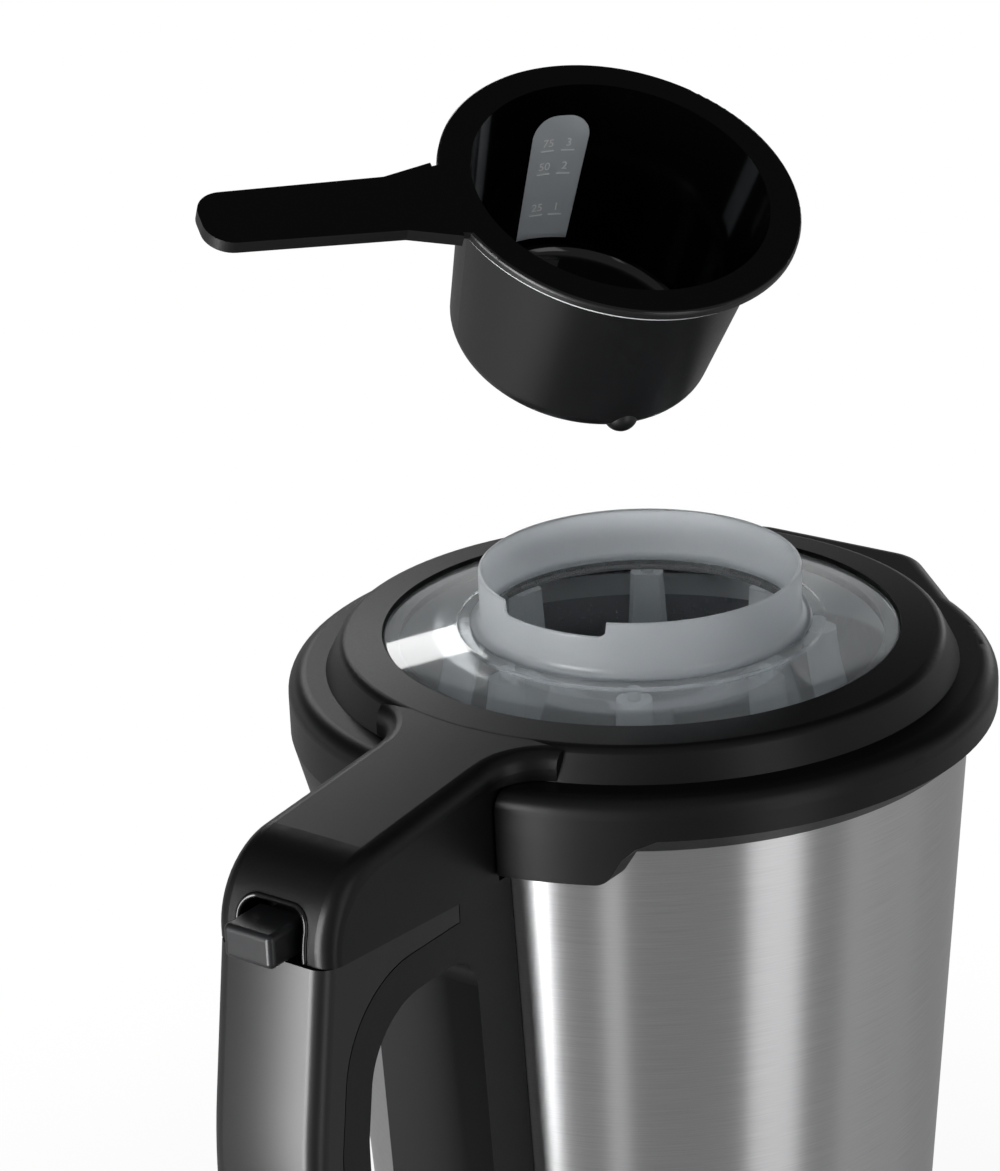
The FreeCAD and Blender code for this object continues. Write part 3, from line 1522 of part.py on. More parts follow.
# Rotor: shaft from the motor up through the pot's floor, with armature, commutator and fan
fan_top = low_bearing_bottom - size.fan_clearance
fan_bottom = fan_top - size.fan_height
shoulder_bottom = flange_top + size.fit * 2
blade_bottom = shoulder_bottom + size.shoulder_height
blade_top = blade_bottom + size.blade_thickness * 2
shaft_bottom = fan_bottom - size.fit * 2
shaft_top = blade_top + size.shaft_tail
node(turned("drive_shaft", [
    (as_size(0), shaft_bottom),
    (size.shaft_radius, shaft_bottom),
    (size.shaft_radius, shoulder_bottom),
    (size.shoulder_radius, shoulder_bottom),
    (size.shoulder_radius, blade_bottom),
    (size.shaft_radius, blade_bottom),
    (size.shaft_radius, shaft_top),
    (as_size(0), shaft_top),
]), "drive_shaft")


def sleeve(name, outer, bottom, height):
    """A ring pressed on the shaft."""
    return turned(name, [
        (size.shaft_radius, bottom),
        (outer, bottom),
        (outer, bottom + height),
        (size.shaft_radius, bottom + height),
    ])


node(sleeve("armature", motor_bore_radius - size.armature_gap, stator_bottom,
            stator_height), "armature")
node(sleeve("commutator", size.commutator_radius, commutator_bottom, size.commutator_height),
     "commutator")
fan_radius = size.motor_radius - size.fan_inset
fan_disc = sleeve("fan_disc", fan_radius, fan_top - size.fan_web, size.fan_web)
fan_hub = sleeve("fan_hub", size.fan_hub_radius, fan_bottom, size.fan_height)
vane = padded("fan_vane", "XY_Plane", [
    (size.fan_hub_radius - size.fan_web, -size.fan_blade_thickness / 2),
    (fan_radius - size.fan_web, -size.fan_blade_thickness / 2),
    (fan_radius - size.fan_web, size.fan_blade_thickness / 2),
    (size.fan_hub_radius - size.fan_web, size.fan_blade_thickness / 2),
], size.fan_height, lift=fan_bottom, both_ways=False)
vane_pattern = vane.newObject("PartDesign::PolarPattern", "vanes")
vane_pad = vane.Tip
vane_pattern.Originals = [vane_pad]
vane_pattern.Axis = (vane_pad.Profile[0], ["N_Axis"])
vane_pattern.Angle = 360.0
bind(vane_pattern, Occurrences=size.fan_blades)
vane.Tip = vane_pattern
node(joined(fan_disc, fan_hub, vane), "cooling_fan")

# Blade set: two crossed steel strips, one with its tips up and one down, clamped
# between the shaft's shoulder and a nut
def blade(name, bottom, tip_rise):
    """A strip bent at both ends, side view raised to its width, with the shaft's hole."""
    top = bottom + size.blade_thickness
    return padded(name, "XZ_Plane", [
        (-size.blade_reach, bottom + tip_rise),
        (-size.blade_flat, bottom),
        (size.blade_flat, bottom),
        (size.blade_reach, bottom + tip_rise),
        (size.blade_reach, top + tip_rise),
        (size.blade_flat, top),
        (-size.blade_flat, top),
        (-size.blade_reach, top + tip_rise),
    ], size.blade_width)


lower_blade = blade("lower_strip", blade_bottom, -size.blade_downturn)
upper_blade = blade("upper_strip", blade_bottom + size.blade_thickness, size.blade_upturn)
upper_blade.Placement = FreeCAD.Placement(FreeCAD.Vector(0, 0, 0),
                                          FreeCAD.Rotation(FreeCAD.Vector(0, 0, 1), 90))
for strip_blade, label in ((lower_blade, "lower_blade"), (upper_blade, "upper_blade")):
    shaft_hole = rod(size.shaft_radius, size.shoulder_height * 4, as_size(0), as_size(0),
                     blade_bottom - size.shoulder_height)
    node(cut(strip_blade, shaft_hole), label)
blade_nut = document.addObject("Part::Prism", "nut_blank")
blade_nut.Polygon = 6
bind(blade_nut, Circumradius=size.blade_nut_radius, Height=size.blade_nut_height,
     Placement__Base__z=blade_top)
node(cut(blade_nut, rod(size.shaft_radius, size.shaft_tail, as_size(0), as_size(0), blade_top)),
     "blade_nut")


def cup_rest():
    """Where the cup is held: turned on its seat, then lifted on an arc about a slanted axis."""
    azimuth = math.radians(size.cup_axis_azimuth.value)
    rise = math.radians(size.cup_axis_rise.value)
    axis = FreeCAD.Vector(math.cos(rise) * math.cos(azimuth), math.cos(rise) * math.sin(azimuth),
                          math.sin(rise))
    pivot = FreeCAD.Vector(size.cup_pivot_x.value, size.cup_pivot_y.value,
                           neck_rim.value + size.cup_pivot_rise.value)
    seat = FreeCAD.Placement(
        FreeCAD.Vector(0, 0, neck_rim.value + size.cup_flange.value + size.cup_seal_thickness.value),
        FreeCAD.Rotation(FreeCAD.Vector(0, 0, 1), size.cup_turn_angle.value))
    lift = FreeCAD.Placement(FreeCAD.Vector(0, 0, 0),
                             FreeCAD.Rotation(axis, size.cup_lift_angle.value), pivot)
    return lift.multiply(seat)


# Cup: black beaker with a flange, a flat handle and a slot in its wall for the strip.
# It is made upright with its brim at height 0 and the handle along +X.
cup_flange_radius = size.neck_radius + size.cup_flange_overlap
cup_mouth_radius = neck_bore - size.cup_entry
cup_foot_radius = cup_mouth_radius - size.cup_draft
cup = new_body("cup_body")
cup_under = -size.cup_flange
cup_foot = -size.cup_depth
wall_slope = (cup_mouth_radius - cup_foot_radius) / (size.cup_depth - size.cup_flange)


def cup_radius(level):
    """Outer radius of the cup's wall at a level below its brim."""
    return cup_mouth_radius + wall_slope * (level - cup_under)


inside_floor = cup_foot + size.cup_wall
turn(cup, [
    (as_size(0), cup_foot),
    (cup_foot_radius, cup_foot),
    (cup_mouth_radius, cup_under),
    (cup_flange_radius, cup_under),
    (cup_flange_radius, as_size(0)),
    (as_size(0), as_size(0)),
])
rounded(cup, size.cup_foot_round, hoop(cup_foot_radius, cup_foot))
rounded(cup, size.cup_flange_round, hoop(cup_flange_radius, as_size(0)))
stud = cup.newObject("PartDesign::AdditiveSphere", "stud")
stud.Placement = FreeCAD.Placement(FreeCAD.Vector(0, 0, 0), FreeCAD.Rotation())
bind(stud, Radius=size.cup_stud_radius, Placement__Base__y=size.cup_stud_place,
     Placement__Base__z=cup_foot + size.cup_stud_rise)
document.recompute()
for start, thickness in ((cup_mouth_radius - size.cup_wall / 2, size.cup_flange),
                         (cup_flange_radius, size.cup_handle_thickness)):
    pad(cup, "XY_Plane", [
        (start, -size.cup_handle_root),
        (size.cup_handle_neck_place, -size.cup_handle_neck),
        (size.cup_handle_reach, -size.cup_handle_tip),
        (size.cup_handle_reach, size.cup_handle_tip),
        (size.cup_handle_neck_place, size.cup_handle_neck),
        (start, size.cup_handle_root),
    ], thickness, lift=-thickness, both_ways=False)
rounded(cup, size.cup_handle_corner,
        lambda point, edge: close(point.x, size.cup_handle_reach)
        and close(abs(point.y), size.cup_handle_tip))
nub = cup.newObject("PartDesign::AdditiveCylinder", "nub")
nub.Placement = FreeCAD.Placement(FreeCAD.Vector(0, 0, 0), FreeCAD.Rotation())
bind(nub, Radius=size.cup_nub_radius, Height=size.cup_nub_drop, Placement__Base__x=size.cup_nub_place,
     Placement__Base__z=-size.cup_nub_drop)
document.recompute()
turn(cup, [
    (as_size(0), size.overrun),
    (cup_radius(size.overrun) - size.cup_wall, size.overrun),
    (cup_radius(inside_floor) - size.cup_wall, inside_floor),
    (as_size(0), inside_floor),
], kind="Groove")
rounded(cup, size.cup_foot_round - size.cup_wall,
        hoop(cup_radius(inside_floor) - size.cup_wall, inside_floor))


def strip_section(margin):
    """The strip's section, in the plane at the cup's side, as (minus radius, height)."""
    top = -size.strip_top + margin
    bottom = -size.strip_bottom - margin
    past = margin * 10
    return [
        (-cup_radius(top) - past, top),
        (-cup_radius(bottom) - past, bottom),
        (-cup_radius(bottom) + size.cup_wall + past, bottom),
        (-cup_radius(top) + size.cup_wall + past, top),
    ]


def strip_corner(margin):
    """A test for the two short edges across the wall at the strip's upper corners."""

    def wanted(point, edge):
        reach = math.hypot(point.x, point.y)
        return (close(point.z, -size.strip_top + margin, 0.3) and edge.Length < size.cup_wall.value * 1.6
                and abs(point.x) > 2 and point.y < 0 and reach < cup_mouth_radius.value)

    return wanted


turn(cup, strip_section(size.fit / 4), kind="Groove", plane="YZ_Plane",
     sweep=size.strip_angle + size.strip_fit_angle)
rounded(cup, size.strip_round, strip_corner(size.fit / 4))
cup.Placement = cup_rest()
node(cup, "cup_body")

# Cup strip: translucent level strip let into the cup's wall
cup_strip = new_body("cup_strip")
turn(cup_strip, strip_section(as_size(0)), plane="YZ_Plane", sweep=size.strip_angle)
rounded(cup_strip, size.strip_round, strip_corner(as_size(0)))
cup_strip.Placement = cup_rest()
node(cup_strip, "cup_strip")

# Cup seal: clear silicone ring under the flange, which sits on the neck's rim
cup_seal = turned("cup_seal", [
    (cup_mouth_radius + size.cup_seal_fit, cup_under - size.cup_seal_thickness),
    (cup_flange_radius - size.cup_seal_inset, cup_under - size.cup_seal_thickness),
    (cup_flange_radius - size.cup_seal_inset, cup_under),
    (cup_mouth_radius + size.cup_seal_fit, cup_under),
])
cup_seal.Placement = cup_rest()
node(cup_seal, "cup_seal")

document.recompute()
for item in document.Objects:
    if {"Invalid", "Error"} & set(item.State):
        raise RuntimeError("%s (%s) did not build" % (item.Label, item.Name))
for part in NODES:
    if part.Shape.isNull() or not part.Shape.isValid():
        raise RuntimeError("%s has no valid shape" % part.Label)
os.makedirs("parts", exist_ok=True)
for part in NODES:
    part.Shape.exportStep("parts/%s.step" % part.Label)
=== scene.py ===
import json
import math

import bmesh
import bpy
import numpy as np
from mathutils import Matrix, Vector


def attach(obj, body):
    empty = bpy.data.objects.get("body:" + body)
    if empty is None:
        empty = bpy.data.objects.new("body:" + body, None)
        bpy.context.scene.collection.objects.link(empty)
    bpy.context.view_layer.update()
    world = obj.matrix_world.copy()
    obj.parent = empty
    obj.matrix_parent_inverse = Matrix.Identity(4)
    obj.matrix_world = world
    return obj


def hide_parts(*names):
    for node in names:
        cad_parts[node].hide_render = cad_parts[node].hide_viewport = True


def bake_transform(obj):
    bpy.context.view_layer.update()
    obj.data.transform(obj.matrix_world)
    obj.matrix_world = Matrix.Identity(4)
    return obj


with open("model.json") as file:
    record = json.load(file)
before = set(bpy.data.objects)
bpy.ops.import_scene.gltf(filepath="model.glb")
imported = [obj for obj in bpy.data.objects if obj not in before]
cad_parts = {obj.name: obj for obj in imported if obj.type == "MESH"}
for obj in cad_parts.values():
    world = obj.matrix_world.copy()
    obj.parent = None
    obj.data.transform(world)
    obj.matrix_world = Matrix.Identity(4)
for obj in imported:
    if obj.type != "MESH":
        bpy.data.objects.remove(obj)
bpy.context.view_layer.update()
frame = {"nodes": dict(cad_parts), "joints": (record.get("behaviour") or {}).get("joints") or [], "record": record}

# Base housing and floor: two injection mouldings in black ABS, screwed together from below.
# The tool was spark-eroded, which leaves a fine even pitting, so the black stays deep and a
# lamp spreads on it into a soft grey sheen with no sharp edge.
MM = 0.001


def linear(hex_colour):
    """An sRGB hex colour as linear red, green, blue and full alpha."""
    parts = [int(hex_colour[i:i + 2], 16) / 255 for i in (1, 3, 5)]
    return [c / 12.92 if c <= 0.04045 else ((c + 0.055) / 1.055) ** 2.4 for c in parts] + [1.0]


def add_node(tree, kind, links=(), values=(), **settings):
    """Adds a node, sets its properties and its inputs' values, and links sockets to its inputs."""
    made = tree.nodes.new(kind)
    for name, value in settings.items():
        setattr(made, name, value)
    for socket, value in values:
        made.inputs[socket].default_value = value
    for socket, source in links:
        tree.links.new(source, made.inputs[socket])
    return made


def new_material(name, **settings):
    """A material with one Principled surface, its inputs set by name: gives the material, its
    node tree and its surface."""
    made = bpy.data.materials.new(name)
    made.use_nodes = True
    surface = made.node_tree.nodes["Principled BSDF"]
    for socket, value in settings.items():
        surface.inputs[socket.replace("_", " ")].default_value = value
    return made, made.node_tree, surface


def dress(material, *nodes):
    """Gives CAD nodes a material in place of the one from the record."""
    for name in nodes:
        for slot in frame["nodes"][name].material_slots:
            slot.material = material


def roughen(tree, surface, height, low, high, strength, depth):
    """Ties a grey pattern to a surface: its roughness runs from low to high with the pattern,
    and a bump of a given depth follows it."""
    spread = add_node(tree, "ShaderNodeMapRange", [("Value", height)],
                      [("To Min", low), ("To Max", high)])
    tree.links.new(spread.outputs[0], surface.inputs["Roughness"])
    relief = add_node(tree, "ShaderNodeBump", [("Height", height)],
                      [("Strength", strength), ("Distance", depth)])
    tree.links.new(relief.outputs[0], surface.inputs["Normal"])


# Spark-eroded pits are about 0.1 mm wide. They are drawn at 0.6 mm, so that they show.
SPARK_PIT = 0.6 * MM
black_abs, tree, surface = new_material("black_spark_eroded_abs", Base_Color=linear("#040405"),
                                        IOR=1.4)
place = add_node(tree, "ShaderNodeTexCoord")
pits = add_node(tree, "ShaderNodeTexNoise", [("Vector", place.outputs["Object"])],
                [("Scale", 1 / SPARK_PIT), ("Detail", 2.0)])
roughen(tree, surface, pits.outputs["Fac"], low=0.3, high=0.42, strength=0.12, depth=0.02 * MM)
dress(black_abs, "base_housing", "base_floor")

# Feet, motor mounts and shaft seal: compression-moulded black rubber, dusty and matt. The
# feet plug into the floor. The two carbon brushes of the motor look much the same.
RUBBER_BLOOM = 3.0 * MM
black_rubber, tree, surface = new_material("black_moulded_rubber", Base_Color=linear("#1C1C1D"),
                                           IOR=1.52)
place = add_node(tree, "ShaderNodeTexCoord")
bloom = add_node(tree, "ShaderNodeTexNoise", [("Vector", place.outputs["Object"])],
                 [("Scale", 1 / RUBBER_BLOOM), ("Detail", 6.0)])
roughen(tree, surface, bloom.outputs["Fac"], low=0.65, high=0.9, strength=0.1, depth=0.03 * MM)
dress(black_rubber, "rubber_feet", "motor_mounts", "shaft_seal", "carbon_brushes")

# Control panel and display: smoked acrylic, moulded against a polished steel face and set
# flush in the base. It mirrors the room faintly, with a few hairline scratches from wiping.
WIPE_SCRATCH, SCRATCH_STRETCH = 0.4 * MM, 20.0
smoked_acrylic, tree, surface = new_material("smoked_polished_acrylic",
                                             Base_Color=linear("#08080A"), IOR=1.49)
place = add_node(tree, "ShaderNodeTexCoord")
across = add_node(tree, "ShaderNodeMapping", [("Vector", place.outputs["Object"])],
                  [("Scale", (1 / SCRATCH_STRETCH, 1 / SCRATCH_STRETCH, 1.0))])
scratches = add_node(tree, "ShaderNodeTexNoise", [("Vector", across.outputs[0])],
                     [("Scale", 1 / WIPE_SCRATCH), ("Detail", 4.0)])
roughen(tree, surface, scratches.outputs["Fac"], low=0.05, high=0.14, strength=0.03, depth=0.01 * MM)
dress(smoked_acrylic, "control_panel", "display_window")

# Panel print: plain numbers under the buttons in white ink, and the lit digits of the timer.
# The ink is screen printed on the acrylic, so it is matt and stands a hair above the face.
BASE_FOOT_RADIUS, BASE_FOOT_LEVEL = 82.0 * MM, 12.0 * MM
BASE_TOP_RADIUS, BASE_TOP_LEVEL = 75.2 * MM, 74.0 * MM
PANEL_PROUD, INK_LIFT = 0.6 * MM, 0.08 * MM
BUTTON_PITCH, BUTTON_LEVEL = math.radians(9.0), 32.0 * MM
NUMBER_HEIGHT, NUMBER_DROP = 2.6 * MM, 8.0 * MM
DIGIT_HEIGHT, DISPLAY_LEVEL = 7.0 * MM, 51.0 * MM
# A capital letter of the font is this much smaller than the font's size.
FONT_TO_CAPITAL = 1.4
# Points nearer than this are one point.
WELD_GAP = 1e-7


def text_points(words, height):
    """Flat letters of a height as points (across, up, 0), centred on their width, with faces."""
    curve = bpy.data.curves.new("words", "FONT")
    curve.body = words
    curve.size = height * FONT_TO_CAPITAL
    curve.align_x = "CENTER"
    curve.align_y = "CENTER"
    carrier = bpy.data.objects.new("words", curve)
    flat = bpy.data.meshes.new_from_object(carrier)
    points = np.empty(len(flat.vertices) * 3)
    flat.vertices.foreach_get("co", points)
    faces = [tuple(face.vertices) for face in flat.polygons]
    bpy.data.objects.remove(carrier)
    bpy.data.curves.remove(curve)
    bpy.data.meshes.remove(flat)
    return points.reshape(-1, 3), faces


def new_piece(name, points, faces, material, body, slot, smooth=True):
    """A mesh object made of points and faces in the part's frame, which rides on a body, if one
    is given."""
    mesh = bpy.data.meshes.new(name)
    mesh.from_pydata(np.asarray(points).reshape(-1, 3).tolist(), [], faces)
    shape = bmesh.new()
    shape.from_mesh(mesh)
    bmesh.ops.remove_doubles(shape, verts=shape.verts, dist=WELD_GAP)
    bmesh.ops.recalc_face_normals(shape, faces=shape.faces)
    shape.to_mesh(mesh)
    shape.free()
    mesh.polygons.foreach_set("use_smooth", [smooth] * len(mesh.polygons))
    mesh.materials.append(material)
    piece = bpy.data.objects.new(name, mesh)
    bpy.context.scene.collection.objects.link(piece)
    if body:
        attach(piece, body)
    return piece


def joined(shapes):
    """Several (points, faces) as one: each one's faces count on from the points before it."""
    all_points, all_faces, start = [], [], 0
    for points, faces in shapes:
        all_points.append(points)
        all_faces += [tuple(corner + start for corner in face) for face in faces]
        start += len(points)
    return np.concatenate(all_points), all_faces


def panel_print(name, words_list, material):
    """Words on the panel: each is (words, height, angle from the middle, level). A point at
    (across, up) goes to the angle across over radius and to the level up, on the cone that the
    panel's face follows."""
    shapes = []
    for words, height, angle, level in words_list:
        points, faces = text_points(words, height)
        upward = points[:, 1] + level
        share = (upward - BASE_FOOT_LEVEL) / (BASE_TOP_LEVEL - BASE_FOOT_LEVEL)
        radius = (BASE_FOOT_RADIUS + (BASE_TOP_RADIUS - BASE_FOOT_RADIUS) * share + PANEL_PROUD
                  + INK_LIFT)
        around = angle - math.pi / 2 + points[:, 0] / radius
        shapes.append((np.stack([radius * np.cos(around), radius * np.sin(around), upward], axis=1),
                       faces))
    new_piece(name, *joined(shapes), material, "jug", "white_plastic", smooth=False)


white_ink = new_material("white_screen_ink", Base_Color=linear("#D8D8D4"), Roughness=0.6)[0]
panel_print("button_numbers", [(str(number + 1), NUMBER_HEIGHT, BUTTON_PITCH * (number - 2),
                                BUTTON_LEVEL - NUMBER_DROP) for number in range(5)], white_ink)
lit_digits = new_material("lit_digits", Base_Color=linear("#9FC6E8"), Roughness=0.5,
                          Emission_Color=linear("#9FC6E8"), Emission_Strength=0.6)[0]
panel_print("timer_digits", [("25:00", DIGIT_HEIGHT, 0.0, DISPLAY_LEVEL)], lit_digits)

# Panel buttons and latch button: grey ABS caps with a lightly etched face, each a separate
# moulding that slides in its hole. The five on the panel are paler, so that a cook finds them
# on the dark acrylic. Etching gives a tighter sheen than the housing's pits.
ETCH_GRAIN = 0.5 * MM
for name, colour, caps in (("grey_etched_abs", "#161719", ["latch_button"]),
                           ("pale_etched_abs", "#85878A",
                            ["smooth_button", "chunky_button", "keep_warm_button", "blend_button",
                             "start_button"])):
    etched_abs, tree, surface = new_material(name, Base_Color=linear(colour), IOR=1.53)
    place = add_node(tree, "ShaderNodeTexCoord")
    etching = add_node(tree, "ShaderNodeTexNoise", [("Vector", place.outputs["Object"])],
                       [("Scale", 1 / ETCH_GRAIN), ("Detail", 2.0)])
    roughen(tree, surface, etching.outputs["Fac"], low=0.28, high=0.38, strength=0.06,
            depth=0.02 * MM)
    dress(etched_abs, *caps)

# Silicone rings: the button mat, the pot's gasket, the lid's seal and the cup's seal, cast in
# clear silicone rubber, which is milky and lets some light through.
clear_silicone, tree, surface = new_material("clear_cast_silicone", Base_Color=linear("#E1E4E6"),
                                             IOR=1.41, Transmission_Weight=0.3)
SILICONE_HAZE = 4.0 * MM
place = add_node(tree, "ShaderNodeTexCoord")
haze = add_node(tree, "ShaderNodeTexNoise", [("Vector", place.outputs["Object"])],
                [("Scale", 1 / SILICONE_HAZE), ("Detail", 3.0)])
roughen(tree, surface, haze.outputs["Fac"], low=0.32, high=0.5, strength=0.05, depth=0.02 * MM)
# The cup's seal shows as a pale line under the cup's flange, and it stands in for a highlight along the flange's
# lower edge: a painted highlight.
dress(clear_silicone, "button_mat", "pot_gasket", "lid_seal", "cup_seal")

# Mains inlet: a black ABS moulding that clips into the back of the base, with brass pins. The
# interlock switch has the same case. Bushes and bearings are turned from the same brass as the
# pins, and the tool's marks run round them.
TOOL_MARK = 0.3 * MM
# One wave of the wave texture is this long at a scale of 1.
WAVE_LENGTH = math.pi / 10
turned_brass, tree, surface = new_material("turned_brass", Base_Color=linear("#C9A45A"),
                                           Metallic=1.0)
place = add_node(tree, "ShaderNodeTexCoord")
marks = add_node(tree, "ShaderNodeTexWave", [("Vector", place.outputs["Object"])],
                 [("Scale", WAVE_LENGTH / TOOL_MARK), ("Distortion", 2.0)], bands_direction="Z")
roughen(tree, surface, marks.outputs["Fac"], low=0.22, high=0.36, strength=0.05, depth=0.02 * MM)
dress(turned_brass, "inlet_pins", "carrier_bushes", "motor_bearings")
dress(black_abs, "power_inlet", "interlock_switch")

# Circuit board: green glass-epoxy with a woven cloth under its varnish, soldered with parts in
# white nylon cases. Motor deck, fan, interlock plunger and thermal cutout are moulded in the
# same nylon, and screwed or clipped in place.
GLASS_WEAVE = 0.8 * MM
circuit_board, tree, surface = new_material("green_glass_epoxy", IOR=1.55)
place = add_node(tree, "ShaderNodeTexCoord")
weave = add_node(tree, "ShaderNodeTexChecker", [("Vector", place.outputs["Object"])],
                 [("Color1", linear("#1F5A35")), ("Color2", linear("#194D2D")),
                  ("Scale", 1 / GLASS_WEAVE)])
tree.links.new(weave.outputs["Color"], surface.inputs["Base Color"])
roughen(tree, surface, weave.outputs["Fac"], low=0.3, high=0.42, strength=0.05, depth=0.02 * MM)
dress(circuit_board, "control_board")
NYLON_FLOW = 5.0 * MM
white_nylon, tree, surface = new_material("white_moulded_nylon", Base_Color=linear("#E2E1DC"),
                                          IOR=1.53)
place = add_node(tree, "ShaderNodeTexCoord")
flow = add_node(tree, "ShaderNodeTexNoise", [("Vector", place.outputs["Object"])],
                [("Scale", 1 / NYLON_FLOW), ("Detail", 4.0)])
roughen(tree, surface, flow.outputs["Fac"], low=0.4, high=0.58, strength=0.06, depth=0.03 * MM)
dress(white_nylon, "board_components", "motor_deck", "cooling_fan", "interlock_plunger",
      "thermal_cutout")

# Motor: stacks of stamped iron sheet 0.5 mm thick, which show as fine level lines, with
# enamelled copper wire wound round them. The commutator's copper and the heating element's
# dull steel sheath look much the same as these two.
LAMINATION = 0.5 * MM
laminated_iron, tree, surface = new_material("stamped_iron_stack", Base_Color=linear("#5C5C5E"),
                                             Metallic=1.0)
place = add_node(tree, "ShaderNodeTexCoord")
sheets = add_node(tree, "ShaderNodeTexWave", [("Vector", place.outputs["Object"])],
                  [("Scale", WAVE_LENGTH / LAMINATION)], bands_direction="Z")
roughen(tree, surface, sheets.outputs["Fac"], low=0.4, high=0.6, strength=0.3, depth=0.1 * MM)
dress(laminated_iron, "motor_stator", "armature", "heating_element")
WIRE = 0.7 * MM
enamelled_copper, tree, surface = new_material("enamelled_copper_wire", Base_Color=linear("#B4622E"),
                                               Metallic=1.0)
place = add_node(tree, "ShaderNodeTexCoord")
turns = add_node(tree, "ShaderNodeTexWave", [("Vector", place.outputs["Object"])],
                 [("Scale", WAVE_LENGTH / WIRE), ("Distortion", 1.0)], bands_direction="Z")
roughen(tree, surface, turns.outputs["Fac"], low=0.25, high=0.4, strength=0.5, depth=0.2 * MM)
dress(enamelled_copper, "field_windings", "commutator")

# Shaft, screws and nuts: turned or cold-headed steel with a bright zinc plate, which is a little
# cloudy. The screws hold the base, the arm and the handle, and the nuts hold the blades and the
# shaft's carrier.
ZINC_SPANGLE = 2.0 * MM
zinc_plate, tree, surface = new_material("zinc_plated_steel", Base_Color=linear("#BFC1C4"),
                                         Metallic=1.0)
place = add_node(tree, "ShaderNodeTexCoord")
spangle = add_node(tree, "ShaderNodeTexVoronoi", [("Vector", place.outputs["Object"])],
                   [("Scale", 1 / ZINC_SPANGLE)])
roughen(tree, surface, spangle.outputs["Distance"], low=0.2, high=0.34, strength=0.03,
        depth=0.02 * MM)
dress(zinc_plate, "base_screws", "arm_screws", "handle_screws", "spine_screws", "carrier_nut",
      "blade_nut", "drive_shaft")

# Heater plate, shaft carrier and motor brackets: die-cast aluminium with the frosty skin that
# the cold die leaves. The plate is brazed under the pot, and the nut pulls the carrier down.
CAST_SKIN = 1.2 * MM
cast_aluminium, tree, surface = new_material("die_cast_aluminium", Base_Color=linear("#B4B5B6"),
                                             Metallic=1.0)
place = add_node(tree, "ShaderNodeTexCoord")
skin = add_node(tree, "ShaderNodeTexNoise", [("Vector", place.outputs["Object"])],
                [("Scale", 1 / CAST_SKIN), ("Detail", 5.0)])
roughen(tree, surface, skin.outputs["Fac"], low=0.36, high=0.56, strength=0.15, depth=0.06 * MM)
dress(cast_aluminium, "heater_plate", "shaft_carrier", "motor_top_bracket", "motor_bottom_bracket")

# Inner pot and blades: stainless sheet, drawn into a bowl and ground into strips. Drawing and
# polishing leave a satin face with faint rings, softer than the shell's brushing.
POT_RING = 1.0 * MM
satin_stainless, tree, surface = new_material("satin_drawn_stainless", Base_Color=linear("#B4B4B7"),
                                              Metallic=1.0)
place = add_node(tree, "ShaderNodeTexCoord")
rings = add_node(tree, "ShaderNodeTexNoise", [("Vector", place.outputs["Object"])],
                 [("Scale", 1 / POT_RING), ("Detail", 2.0)])
roughen(tree, surface, rings.outputs["Fac"], low=0.24, high=0.34, strength=0.03, depth=0.02 * MM)
dress(satin_stainless, "inner_pot", "lower_blade", "upper_blade")

# Outer shell: stainless sheet rolled into a tapered sleeve and seamed behind the handle, then
# brushed round the jug with an abrasive belt. The scratches run level, so a lamp is drawn out
# into an upright band, and the bands change sharply from side to side.
# Belt scratches are about 0.05 mm apart. They are drawn at 0.28 mm, so that they show.
BELT_SCRATCH = 0.28 * MM
SCRATCH_LENGTH = 0.25
brushed_stainless, tree, surface = new_material("belt_brushed_stainless", Metallic=1.0,
                                                Anisotropic=0.98, Anisotropic_Rotation=0.25)
place = add_node(tree, "ShaderNodeTexCoord")
parts = add_node(tree, "ShaderNodeSeparateXYZ", [("Vector", place.outputs["Object"])])
angle = add_node(tree, "ShaderNodeMath", [(0, parts.outputs["Y"]), (1, parts.outputs["X"])],
                 operation="ARCTAN2")
along = add_node(tree, "ShaderNodeMath", [(0, angle.outputs[0])], [(1, SCRATCH_LENGTH)],
                 operation="DIVIDE")
rows = add_node(tree, "ShaderNodeMath", [(0, parts.outputs["Z"])], [(1, BELT_SCRATCH)],
                operation="DIVIDE")
unrolled = add_node(tree, "ShaderNodeCombineXYZ", [("X", along.outputs[0]), ("Z", rows.outputs[0])])
scratches = add_node(tree, "ShaderNodeTexNoise", [("Vector", unrolled.outputs[0])],
                     [("Scale", 1.0), ("Detail", 4.0), ("Roughness", 0.7)])
roughen(tree, surface, scratches.outputs["Fac"], low=0.28, high=0.36, strength=0.14, depth=0.03 * MM)
sheen = add_node(tree, "ShaderNodeValToRGB", [("Fac", scratches.outputs["Fac"])])
sheen.color_ramp.elements[0].position, sheen.color_ramp.elements[1].position = 0.3, 0.7
sheen.color_ramp.elements[0].color = linear("#D3D3D5")
sheen.color_ramp.elements[1].color = linear("#E6E6E7")
tree.links.new(sheen.outputs["Color"], surface.inputs["Base Color"])
level = add_node(tree, "ShaderNodeTangent", direction_type="RADIAL", axis="Z")
tree.links.new(level.outputs[0], surface.inputs["Tangent"])
dress(brushed_stainless, "outer_shell")

# Collar and handle: more of the black ABS. The collar grips the top of the shell, and the two
# halves of the handle clip together and are screwed to the shell's spine.
dress(black_abs, "collar", "handle_frame")

